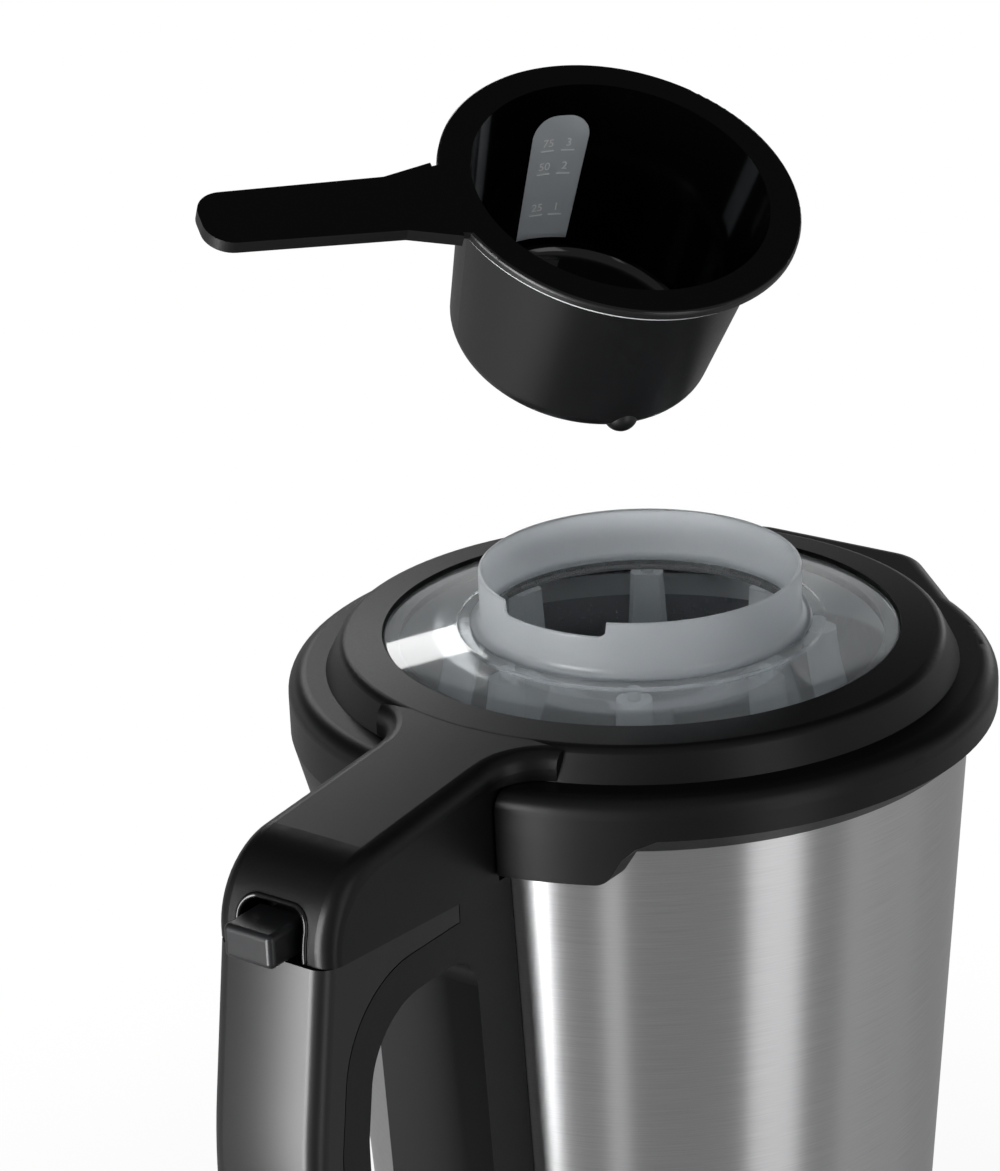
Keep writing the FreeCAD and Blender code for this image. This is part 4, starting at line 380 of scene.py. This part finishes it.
# Handle cover: the outer half of the handle, in the same plastic. Its back looks crowned by less
# than two millimetres, so that the sheen grows from one side to the other. The shading alone
# gives this: the surface height is minus the square of the way across, over twice the radius.
CROWN_RADIUS = 105.0 * MM
crowned_abs, tree, surface = new_material("black_crowned_abs", Base_Color=linear("#040405"), IOR=1.6)
place = add_node(tree, "ShaderNodeTexCoord")
pits = add_node(tree, "ShaderNodeTexNoise", [("Vector", place.outputs["Object"])],
                [("Scale", 1 / SPARK_PIT), ("Detail", 2.0)])
roughen(tree, surface, pits.outputs["Fac"], low=0.3, high=0.42, strength=0.12, depth=0.02 * MM)
parts = add_node(tree, "ShaderNodeSeparateXYZ", [("Vector", place.outputs["Object"])])
square = add_node(tree, "ShaderNodeMath", [(0, parts.outputs["Y"]), (1, parts.outputs["Y"])],
                  operation="MULTIPLY")
drop = add_node(tree, "ShaderNodeMath", [(0, square.outputs[0])], [(1, -0.5 / CROWN_RADIUS)],
                operation="MULTIPLY")
crown = add_node(tree, "ShaderNodeBump", [("Height", drop.outputs[0])],
                 [("Strength", 1.0), ("Distance", 1.0)])
relief = surface.inputs["Normal"].links[0].from_node
tree.links.new(crown.outputs[0], relief.inputs["Normal"])
dress(crowned_abs, "handle_cover")

# Lid frame: a ring and an arm in one black ABS moulding, with a cover screwed under the arm.
# A polished bead runs round the mouth of the notch that the latch button sits in.
dress(black_abs, "lid_frame", "arm_cover")
ARM_REACH, NOSE_ROUND, NOSE_LEVEL = 156.2 * MM, 21.0 * MM, 274.4 * MM
NOTCH_HALF, NOTCH_CORNER = 10.0 * MM, 5.0 * MM
NOTCH_FOOT, NOTCH_TOP = 272.7 * MM, 285.2 * MM
BEAD = 0.75 * MM
RISE_ROWS, BEND_ROWS = 24, 16


def carry(path, radius, sides=12):
    """A round bead carried along a path: at each point a circle of the radius lies in the plane
    across the path's direction, and its last and first points are the bead's ends."""
    ahead = np.gradient(path, axis=0)
    ahead /= np.linalg.norm(ahead, axis=1, keepdims=True)
    side = np.cross(ahead, [1.0, 0.0, 0.0])
    side /= np.linalg.norm(side, axis=1, keepdims=True)
    out = np.cross(side, ahead)
    turn = np.linspace(0, 2 * np.pi, sides, endpoint=False)
    return (path[:, None] + radius * (np.cos(turn)[None, :, None] * side[:, None]
                                      + np.sin(turn)[None, :, None] * out[:, None]))


def grid_faces(rows, columns, wrap_rows=False, wrap_columns=False):
    """Quads between neighbours on a grid of points, joined at its ends where it wraps."""
    number = np.arange(rows * columns).reshape(rows, columns)
    if wrap_rows:
        number = np.vstack([number, number[:1]])
    if wrap_columns:
        number = np.hstack([number, number[:, :1]])
    quads = np.stack([number[:-1, :-1], number[1:, :-1], number[1:, 1:], number[:-1, 1:]], axis=-1)
    return [tuple(quad) for quad in quads.reshape(-1, 4).tolist()]


def end_faces(rows, columns):
    """The first and the last row of a grid, each as one face."""
    return [tuple(range(columns)), tuple(range((rows - 1) * columns, rows * columns))]


rise = np.linspace(NOTCH_FOOT, NOTCH_TOP - NOTCH_CORNER, RISE_ROWS)
bend = np.linspace(0, np.pi / 2, BEND_ROWS)[1:]
corner_y = NOTCH_HALF - NOTCH_CORNER + NOTCH_CORNER * np.cos(bend)
corner_z = NOTCH_TOP - NOTCH_CORNER + NOTCH_CORNER * np.sin(bend)
half_y = np.concatenate([np.full(RISE_ROWS, NOTCH_HALF), corner_y])
half_z = np.concatenate([rise, corner_z])
outline_y = np.concatenate([half_y, -half_y[::-1]])
outline_z = np.concatenate([half_z, half_z[::-1]])
above = np.clip(outline_z - NOSE_LEVEL, 0, None)
outline_x = ARM_REACH - NOSE_ROUND + np.sqrt(NOSE_ROUND ** 2 - above ** 2)
bead = carry(np.stack([outline_x, outline_y, outline_z], axis=1), BEAD)
polished_abs, tree, surface = new_material("black_polished_abs", Base_Color=linear("#0B0B0C"),
                                           IOR=1.53)
POLISH_RIPPLE = 2.0 * MM
place = add_node(tree, "ShaderNodeTexCoord")
ripple = add_node(tree, "ShaderNodeTexNoise", [("Vector", place.outputs["Object"])],
                  [("Scale", 1 / POLISH_RIPPLE), ("Detail", 2.0)])
roughen(tree, surface, ripple.outputs["Fac"], low=0.1, high=0.18, strength=0.03, depth=0.02 * MM)
new_piece("latch_bead", bead,
          grid_faces(*bead.shape[:2], wrap_columns=True) + end_faces(*bead.shape[:2]),
          polished_abs, "lid", "black_plastic")

# Latch spring: a strip of zinc-plated spring steel bent into a shallow V, with its feet on a rib
# in the arm and its tip against the button's stem. The real spring flattens as the button goes in; this piece
# keeps its bent shape.
SPRING_FOOT, SPRING_TIP, SPRING_HALF = 119.0 * MM, 127.0 * MM, 5.0 * MM
SPRING_LOW, SPRING_HIGH, SPRING_STRIP = 275.0 * MM, 279.0 * MM, 0.5 * MM
SPRING_ROWS = 41
spring_y = np.linspace(-SPRING_HALF, SPRING_HALF, SPRING_ROWS)
toward_tip = 1 - np.abs(spring_y) / SPRING_HALF
spring_back = SPRING_FOOT + (SPRING_TIP - 2 * SPRING_STRIP - SPRING_FOOT) * toward_tip
spring_front = SPRING_FOOT + SPRING_STRIP + (SPRING_TIP - SPRING_STRIP - SPRING_FOOT) * toward_tip
spring_x = np.stack([spring_back, spring_front, spring_front, spring_back], axis=1)
spring_z = np.array([[SPRING_LOW, SPRING_LOW, SPRING_HIGH, SPRING_HIGH]]) + 0 * spring_x
spring_points = np.stack([spring_x, spring_y[:, None] + 0 * spring_x, spring_z], axis=-1)
spring = new_piece("bent_spring", spring_points,
                   grid_faces(*spring_x.shape, wrap_columns=True) + end_faces(*spring_x.shape),
                   zinc_plate, None, "spring_steel", smooth=False)
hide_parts("latch_spring")
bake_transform(spring)

# Window: a clear polycarbonate ring that rises to a step for the neck, moulded in a polished
# tool and snapped into the lid frame. Its outer edge is rounded, and that catches the light as a
# thin bright line.
WINDOW_EDGE = [(67.9, 297.45), (67.9, 300.4), (48.4, 303.3), (41.35, 303.3), (41.35, 300.35),
               (48.4, 300.35)]
WINDOW_ROUNDS = [0.3, 0.9, 1.5, 0.2, 0.2, 1.5]


def round_corners(corners, radii, steps=7):
    """A closed outline with its corners rounded. Each corner gives points on the arc between the
    two places where a circle of the radius touches the corner's sides: a quadratic curve with
    the corner as its middle point, whose weight is the sine of half the corner's angle."""
    corners = np.array(corners)
    back = np.roll(corners, 1, axis=0) - corners
    fore = np.roll(corners, -1, axis=0) - corners
    back /= np.linalg.norm(back, axis=1, keepdims=True)
    fore /= np.linalg.norm(fore, axis=1, keepdims=True)
    half = np.arccos(np.clip((back * fore).sum(axis=1), -1, 1)) / 2
    reach = np.array(radii) / np.tan(half)
    share = np.linspace(0, 1, steps)[None, :, None]
    start = (corners + back * reach[:, None])[:, None]
    end = (corners + fore * reach[:, None])[:, None]
    middle = corners[:, None]
    weight = np.sin(half)[:, None, None]
    first, pull, last = (1 - share) ** 2, 2 * share * (1 - share) * weight, share ** 2
    arc = (first * start + pull * middle + last * end) / (first + pull + last)
    return arc.reshape(-1, 2)


def lathe(profile, turns=192):
    """A profile of (radius, level) points carried once round the jug's axis."""
    angle = np.linspace(0, 2 * np.pi, turns, endpoint=False)[:, None]
    radius, level = profile[None, :, 0], profile[None, :, 1]
    return np.stack([radius * np.cos(angle), radius * np.sin(angle), level + 0 * angle], axis=-1)


clear_polycarbonate, tree, surface = new_material("clear_polished_polycarbonate",
                                                  Base_Color=linear("#EEF2F4"), IOR=1.58,
                                                  Transmission_Weight=0.93)
WIPE_HAZE = 12.0 * MM
place = add_node(tree, "ShaderNodeTexCoord")
wiped = add_node(tree, "ShaderNodeTexNoise", [("Vector", place.outputs["Object"])],
                 [("Scale", 1 / WIPE_HAZE), ("Detail", 5.0)])
roughen(tree, surface, wiped.outputs["Fac"], low=0.02, high=0.07, strength=0.02, depth=0.02 * MM)
window_points = lathe(round_corners(WINDOW_EDGE, WINDOW_ROUNDS) * MM)
window = new_piece("clear_window", window_points,
                   grid_faces(*window_points.shape[:2], wrap_rows=True, wrap_columns=True),
                   clear_polycarbonate, "lid", "clear_plastic")
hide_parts("lid_window")

# Filler neck: a tube of natural polypropylene welded to the window's step, with a notch in its
# rim for the cup's handle. The plastic is milky and a little blue, and its rim is rounded. The
# splash guard under the window is moulded in the same plastic.
NECK_OUT, NECK_IN, NECK_FOOT = 42.3 * MM, 41.3 * MM, 45.0 * MM
NECK_BASE, NECK_FLARE, NECK_RIM = 303.32 * MM, 2.2 * MM, 318.0 * MM
CUT_HALF, CUT_DEPTH, CUT_CORNER, CUT_EDGE = 16.0 * MM, 4.0 * MM, 2.4 * MM, 0.35 * MM
COARSE_TURNS, FINE_TURNS, FINE_BEFORE, FINE_AFTER = 240, 60, 0.07, 0.01
FLARE_ROWS, WALL_ROWS, CROWN_ROWS, INNER_ROWS = 8, 5, 9, 6


def rim_level(angle):
    """Level of the rim: the full height, less the notch's depth at the handle's side, with a
    round corner at the notch's floor and a steep side over one short step."""
    inside = CUT_HALF - np.abs(NECK_OUT * np.sin(angle))
    inside = np.where(np.cos(angle) > 0, inside, -CUT_HALF)
    corner = np.clip(inside / CUT_CORNER, 0, 1)
    floor_dip = CUT_CORNER * (1 - np.sqrt(1 - (1 - corner) ** 2))
    side = np.clip(inside / CUT_EDGE, 0, 1)
    return NECK_RIM - side * (CUT_DEPTH - np.minimum(floor_dip, CUT_DEPTH))


edge_angle = math.asin(CUT_HALF / NECK_OUT)
coarse = np.linspace(0, 2 * np.pi, COARSE_TURNS, endpoint=False)
fine = np.linspace(edge_angle - FINE_BEFORE, edge_angle + FINE_AFTER, FINE_TURNS)
turns = np.unique(np.round(np.concatenate([coarse, fine, 2 * np.pi - fine]), 7))
rim = rim_level(turns)[:, None]
wall = (NECK_OUT - NECK_IN) / 2
flare = np.linspace(0, np.pi / 2, FLARE_ROWS)
foot_radius = NECK_FOOT - (NECK_FOOT - NECK_OUT) * np.sin(flare)
foot_level = NECK_BASE + NECK_FLARE * (1 - np.cos(flare))
crown = np.linspace(0, np.pi, CROWN_ROWS)
radius = np.concatenate([foot_radius, np.full(WALL_ROWS, NECK_OUT),
                         NECK_OUT - wall + wall * np.cos(crown), np.full(INNER_ROWS, NECK_IN)])[None]
climb = np.linspace(0.1, 0.92, WALL_ROWS)[None]
descent = np.linspace(0.94, 0, INNER_ROWS)[None]
wall_levels = NECK_BASE + NECK_FLARE + (rim - wall - NECK_BASE - NECK_FLARE) * climb
crown_levels = rim - wall + wall * np.sin(crown)[None]
inner_levels = NECK_BASE + (rim - wall - NECK_BASE) * descent
levels = np.concatenate([np.repeat(foot_level[None], len(turns), axis=0), wall_levels,
                         crown_levels, inner_levels], axis=1)
neck_points = np.stack([radius * np.cos(turns)[:, None], radius * np.sin(turns)[:, None], levels],
                       axis=-1)
# Light that enters the milky wall spreads inside it by about this much.
WALL_GLOW = 8.0 * MM
natural_polypropylene, tree, surface = new_material("natural_moulded_polypropylene",
                                                    Base_Color=linear("#ECF2F7"), IOR=1.49,
                                                    Transmission_Weight=0.62, Subsurface_Weight=1.0,
                                                    Subsurface_Radius=(1.0, 1.0, 1.0),
                                                    Subsurface_Scale=WALL_GLOW)
FLOW_CLOUD = 9.0 * MM
place = add_node(tree, "ShaderNodeTexCoord")
cloud = add_node(tree, "ShaderNodeTexNoise", [("Vector", place.outputs["Object"])],
                 [("Scale", 1 / FLOW_CLOUD), ("Detail", 4.0)])
roughen(tree, surface, cloud.outputs["Fac"], low=0.3, high=0.4, strength=0.04, depth=0.03 * MM)
neck = new_piece("frosted_neck", neck_points,
                 grid_faces(*neck_points.shape[:2], wrap_rows=True, wrap_columns=True),
                 natural_polypropylene, "lid", "frosted_plastic")
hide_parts("filler_neck")
dress(natural_polypropylene, "splash_guard")

# Measuring cup: one moulding in black polypropylene, with a fine satin texture outside and a
# polished wall and flange. Wall faces are those whose normal points at the cup's axis, and the
# flange is where it points along the axis.
cup_turn = [joint for joint in frame["joints"] if joint["name"] == "cup_turn"][0]
cup_lift = [joint for joint in frame["joints"] if joint["name"] == "cup_lift"][0]
CUP_CENTRE = Vector(cup_turn["pos_m"])
CUP_AXIS = Vector(cup_turn["axis"]).normalized()
black_polypropylene, tree, surface = new_material("black_satin_polypropylene",
                                                  Base_Color=linear("#050506"), IOR=1.6)
CUP_PIT = 0.7 * MM
INNER_REACH, FLANGE_FACING, POLISHED_ROUGHNESS = -5.0 * MM, 0.7, 0.1
place = add_node(tree, "ShaderNodeTexCoord")
pits = add_node(tree, "ShaderNodeTexNoise", [("Vector", place.outputs["Object"])],
                [("Scale", 1 / CUP_PIT), ("Detail", 2.0)])
roughen(tree, surface, pits.outputs["Fac"], low=0.3, high=0.42, strength=0.1, depth=0.02 * MM)
satin = surface.inputs["Roughness"].links[0].from_socket
arm = add_node(tree, "ShaderNodeVectorMath", [(0, place.outputs["Object"])], [(1, CUP_CENTRE)],
               operation="SUBTRACT")
rise_along = add_node(tree, "ShaderNodeVectorMath", [(0, arm.outputs[0])], [(1, CUP_AXIS)],
                      operation="DOT_PRODUCT")
axial = add_node(tree, "ShaderNodeVectorMath", [("Scale", rise_along.outputs["Value"])],
                 [(0, CUP_AXIS)], operation="SCALE")
outward = add_node(tree, "ShaderNodeVectorMath", [(0, arm.outputs[0]), (1, axial.outputs[0])],
                   operation="SUBTRACT")
facing = add_node(tree, "ShaderNodeVectorMath",
                  [(0, outward.outputs[0]), (1, place.outputs["Normal"])], operation="DOT_PRODUCT")
inner = add_node(tree, "ShaderNodeMath", [(0, facing.outputs["Value"])], [(1, INNER_REACH)],
                 operation="LESS_THAN")
along = add_node(tree, "ShaderNodeVectorMath", [(0, place.outputs["Normal"])], [(1, CUP_AXIS)],
                 operation="DOT_PRODUCT")
flange = add_node(tree, "ShaderNodeMath", [(0, along.outputs["Value"])], [(1, FLANGE_FACING)],
                  operation="GREATER_THAN")
polished = add_node(tree, "ShaderNodeMath", [(0, inner.outputs[0]), (1, flange.outputs[0])],
                    operation="MAXIMUM")
finish = add_node(tree, "ShaderNodeMix", [("Factor", polished.outputs[0]), (2, satin)],
                  [(3, POLISHED_ROUGHNESS)])
tree.links.new(finish.outputs[0], surface.inputs["Roughness"])
dress(black_polypropylene, "cup_body")

# Level strip: natural polypropylene set into the cup's wall, with moulded ticks and plain
# numbers on its inner face that stand a little proud. They read paler than the strip, and a
# faint emission, a painted glow, since no lamp is behind them, makes them legible.
strip_polypropylene, tree, surface = new_material("tinted_moulded_polypropylene",
                                                  Base_Color=linear("#D6DCE0"), IOR=1.49,
                                                  Transmission_Weight=0.25)
place = add_node(tree, "ShaderNodeTexCoord")
cloud = add_node(tree, "ShaderNodeTexNoise", [("Vector", place.outputs["Object"])],
                 [("Scale", 1 / FLOW_CLOUD), ("Detail", 4.0)])
roughen(tree, surface, cloud.outputs["Fac"], low=0.3, high=0.45, strength=0.04, depth=0.03 * MM)
dress(strip_polypropylene, "cup_strip")
MOUTH_RADIUS, FOOT_RADIUS, CUP_DEPTH = 38.8 * MM, 32.8 * MM, 52.0 * MM
BRIM, CUP_WALL, MARK_PROUD = 2.0 * MM, 2.0 * MM, 0.15 * MM
MARK_COLUMN, MARK_HEIGHT = math.radians(4.6), 2.3 * MM
TICK_WIDTH, TICK_HEIGHT, TICK_DROP = 3.6 * MM, 0.35 * MM, 2.2 * MM
lift_angle = math.radians(-cup_lift["range_deg"][0])
ratio = [pair["ratio"] for pair in frame["record"]["behaviour"]["couplings"]
         if pair["joint"] == "cup_turn"][0]
held = (Matrix.Rotation(lift_angle, 3, Vector(cup_lift["axis"]))
        @ Matrix.Rotation(ratio * lift_angle, 3, "Z"))


def on_strip(points, angle, depth):
    """Flat points bent onto the strip: (across, up) goes to the angle less across over the wall's
    inner radius, at the depth below the brim less up, and then to where the cup is held."""
    level = points[:, 1] - depth
    share = (-level - BRIM) / (CUP_DEPTH - BRIM)
    radius = MOUTH_RADIUS + (FOOT_RADIUS - MOUTH_RADIUS) * share - CUP_WALL - MARK_PROUD
    around = -math.pi / 2 + angle - points[:, 0] / radius
    upright = np.stack([radius * np.cos(around), radius * np.sin(around), level], axis=1)
    return upright @ np.array(held).T + np.array(CUP_CENTRE)


tick_x, tick_y = TICK_WIDTH / 2, TICK_HEIGHT / 2
tick = np.array([(-tick_x, -tick_y, 0), (tick_x, -tick_y, 0), (tick_x, tick_y, 0),
                 (-tick_x, tick_y, 0)])
strip_shapes = []
for left_words, right_words, depth in (("75", "3", 17.0 * MM), ("50", "2", 24.0 * MM),
                                       ("25", "1", 36.5 * MM)):
    for words, angle in ((left_words, MARK_COLUMN), (right_words, -MARK_COLUMN)):
        letters, letter_faces = text_points(words, MARK_HEIGHT)
        strip_shapes.append((on_strip(letters, angle, depth), letter_faces))
        strip_shapes.append((on_strip(tick, angle, depth + TICK_DROP), [(0, 1, 2, 3)]))
# The marks' emission is a painted glow: they give out light though they are no lamp.
raised_marks_painted_glow = new_material("raised_polypropylene_marks_painted_glow", Base_Color=linear("#FBFCFC"),
                            Roughness=0.35, IOR=1.49, Emission_Color=linear("#FBFCFC"),
                            Emission_Strength=0.08)[0]
new_piece("level_marks", *joined(strip_shapes), raised_marks_painted_glow, "cup", "frosted_plastic", smooth=False)

# Studio: a camera a little above the jug, a tall softbox at the left, three dim ones in front
# and at the right, and two behind. The floor is pale paper that the camera sees as white. Only
# the camera sees the paper past the table's edge, so that the softbox can reach below it.
CAMERA_AIM = Vector((0.02178, -0.02943, 0.3133))
CAMERA_SIDE = Vector((0.804, 0.595, 0.0)).normalized()
CAMERA_RISE = math.radians(21.2)
CAMERA_DISTANCE = 0.9
CAMERA_ROLL = math.radians(-2.2)
FOCAL_PIXELS = 3436.0
FRAME_HEIGHT = 1171.0
SENSOR = 36.0

camera_data = bpy.data.cameras.new("camera")
camera_data.sensor_width = SENSOR
camera_data.lens = FOCAL_PIXELS * SENSOR / FRAME_HEIGHT
camera = bpy.data.objects.new("camera", camera_data)
bpy.context.scene.collection.objects.link(camera)
toward = CAMERA_SIDE * math.cos(CAMERA_RISE) + Vector((0, 0, 1)) * math.sin(CAMERA_RISE)
turn = toward.to_track_quat("Z", "Y").to_matrix().to_4x4()
camera.matrix_world = (Matrix.Translation(CAMERA_AIM + toward * CAMERA_DISTANCE) @ turn
                       @ Matrix.Rotation(CAMERA_ROLL, 4, "Z"))
bpy.context.scene.camera = camera

STUDIO_MIDDLE = Vector((0, 0, 0.25))


def add_softbox(name, bearing, distance, height, size, radiance):
    """A rectangular lamp that faces the jug, at a bearing in degrees to the right of the camera,
    with its size as width and height and its brightness as radiance."""
    lamp = bpy.data.lights.new(name, "AREA")
    lamp.shape = "RECTANGLE"
    lamp.size, lamp.size_y = size
    lamp.energy = radiance * math.pi * size[0] * size[1]
    made = bpy.data.objects.new(name, lamp)
    bpy.context.scene.collection.objects.link(made)
    way = Matrix.Rotation(math.radians(bearing), 3, "Z") @ CAMERA_SIDE
    place = STUDIO_MIDDLE + way * distance + Vector((0, 0, height))
    facing = (place - STUDIO_MIDDLE).to_track_quat("Z", "Y").to_matrix().to_4x4()
    made.matrix_world = Matrix.Translation(place) @ facing


add_softbox("left_softbox", bearing=-49.0, distance=1.1, height=-0.05, size=(0.46, 1.2),
            radiance=11.5)
add_softbox("front_strip", bearing=-14, distance=1.3, height=0.05, size=(0.16, 1.7),
            radiance=0.7)
add_softbox("right_softbox", bearing=41, distance=1.2, height=0.1, size=(0.42, 1.7),
            radiance=1.15)
add_softbox("side_softbox", bearing=84, distance=1.3, height=0.1, size=(0.8, 1.7),
            radiance=0.2)
add_softbox("back_softbox", bearing=194, distance=1.5, height=0.74, size=(0.5, 0.2),
            radiance=5.0)
add_softbox("rim_softbox", bearing=150, distance=1.4, height=0.17, size=(0.4, 0.3),
            radiance=1.2)

FLOOR_HALF, TABLE_EDGE = 6.0, 0.16
NEAR_GLOW, MIRRORED_GLOW = 0.93, 0.2
GLOW_NEAR, GLOW_FAR = 0.15, 0.45
corners = [(-FLOOR_HALF, -FLOOR_HALF, 0), (FLOOR_HALF, -FLOOR_HALF, 0),
           (FLOOR_HALF, FLOOR_HALF, 0), (-FLOOR_HALF, FLOOR_HALF, 0)]
floor_mesh = bpy.data.meshes.new("floor")
floor_mesh.from_pydata(corners, [], [(0, 1, 2, 3)])
floor = bpy.data.objects.new("floor", floor_mesh)
bpy.context.scene.collection.objects.link(floor)
paper, tree, surface = new_material("white_paper", Base_Color=linear("#A8A8A8"), Roughness=0.9)
path = add_node(tree, "ShaderNodeLightPath")
place = add_node(tree, "ShaderNodeTexCoord")
far = add_node(tree, "ShaderNodeVectorMath", [(0, place.outputs["Object"])], operation="LENGTH")
fading = add_node(tree, "ShaderNodeMapRange", [("Value", far.outputs["Value"])],
                  [("From Min", GLOW_NEAR), ("From Max", GLOW_FAR), ("To Min", NEAR_GLOW),
                   ("To Max", 1.0)],
                  interpolation_type="SMOOTHSTEP")
straight = add_node(tree, "ShaderNodeMath", [(0, path.outputs["Is Camera Ray"]),
                                             (1, path.outputs["Is Transmission Ray"])],
                    operation="MAXIMUM")
mirrored = add_node(tree, "ShaderNodeMath", [(0, path.outputs["Is Glossy Ray"])],
                    [(1, MIRRORED_GLOW)], operation="MULTIPLY")
share = add_node(tree, "ShaderNodeMix", [("Factor", straight.outputs[0]), (2, mirrored.outputs[0]),
                                         (3, fading.outputs[0])])
glow = add_node(tree, "ShaderNodeEmission", values=[("Strength", 1.0)])
both = add_node(tree, "ShaderNodeMixShader", [(0, share.outputs[0]), (1, surface.outputs[0]),
                                              (2, glow.outputs[0])])
ahead = add_node(tree, "ShaderNodeVectorMath", [(0, place.outputs["Object"])], [(1, CAMERA_SIDE)],
                 operation="DOT_PRODUCT")
past_edge = add_node(tree, "ShaderNodeMath", [(0, ahead.outputs["Value"])], [(1, TABLE_EDGE)],
                     operation="GREATER_THAN")
open_air = add_node(tree, "ShaderNodeMath", [(0, past_edge.outputs[0]),
                                             (1, path.outputs["Is Camera Ray"])],
                    operation="SUBTRACT", use_clamp=True)
clear = add_node(tree, "ShaderNodeBsdfTransparent")
sheet = add_node(tree, "ShaderNodeMixShader", [(0, open_air.outputs[0]), (1, both.outputs[0]),
                                               (2, clear.outputs[0])])
tree.links.new(sheet.outputs[0], tree.nodes["Material Output"].inputs["Surface"])
floor_mesh.materials.append(paper)

# Room: a pale wall low down behind the jug, dark above it, and an even dim grey in front. The
# camera itself sees white all round. Heights and bearings are parts of a unit direction.
WALL, ROOM, LOFT = 0.5, 0.22, 0.035
WALL_TOP, LOFT_FOOT = 0.1, 0.3
ROOM_END, WALL_START = 0.1, -0.4
world = bpy.data.worlds.new("studio")
bpy.context.scene.world = world
world.use_nodes = True
tree = world.node_tree
tree.nodes.clear()
direction = add_node(tree, "ShaderNodeTexCoord")
height = add_node(tree, "ShaderNodeSeparateXYZ", [("Vector", direction.outputs["Generated"])])
front = add_node(tree, "ShaderNodeVectorMath", [(0, direction.outputs["Generated"])],
                 [(1, CAMERA_SIDE)], operation="DOT_PRODUCT")
wall = add_node(tree, "ShaderNodeMapRange", [("Value", height.outputs["Z"])],
                [("From Min", WALL_TOP), ("From Max", LOFT_FOOT), ("To Min", WALL),
                 ("To Max", LOFT)],
                interpolation_type="SMOOTHSTEP")
behind = add_node(tree, "ShaderNodeMapRange", [("Value", front.outputs["Value"])],
                  [("From Min", ROOM_END), ("From Max", WALL_START), ("To Min", 0.0),
                   ("To Max", 1.0)],
                  interpolation_type="SMOOTHSTEP")
around = add_node(tree, "ShaderNodeMix", [("Factor", behind.outputs[0]), (3, wall.outputs[0])],
                  [(2, ROOM)])
path = add_node(tree, "ShaderNodeLightPath")
seen = add_node(tree, "ShaderNodeMath", [(0, path.outputs["Is Camera Ray"]),
                                         (1, path.outputs["Is Transmission Ray"])],
                operation="MAXIMUM")
level = add_node(tree, "ShaderNodeMix", [("Factor", seen.outputs[0]), (2, around.outputs[0])],
                 [(3, 1.0)])
sky = add_node(tree, "ShaderNodeBackground", [("Strength", level.outputs[0])],
               [("Color", linear("#FFFFFF"))])
add_node(tree, "ShaderNodeOutputWorld", [("Surface", sky.outputs[0])])

bpy.context.scene.view_settings.view_transform = "Standard"
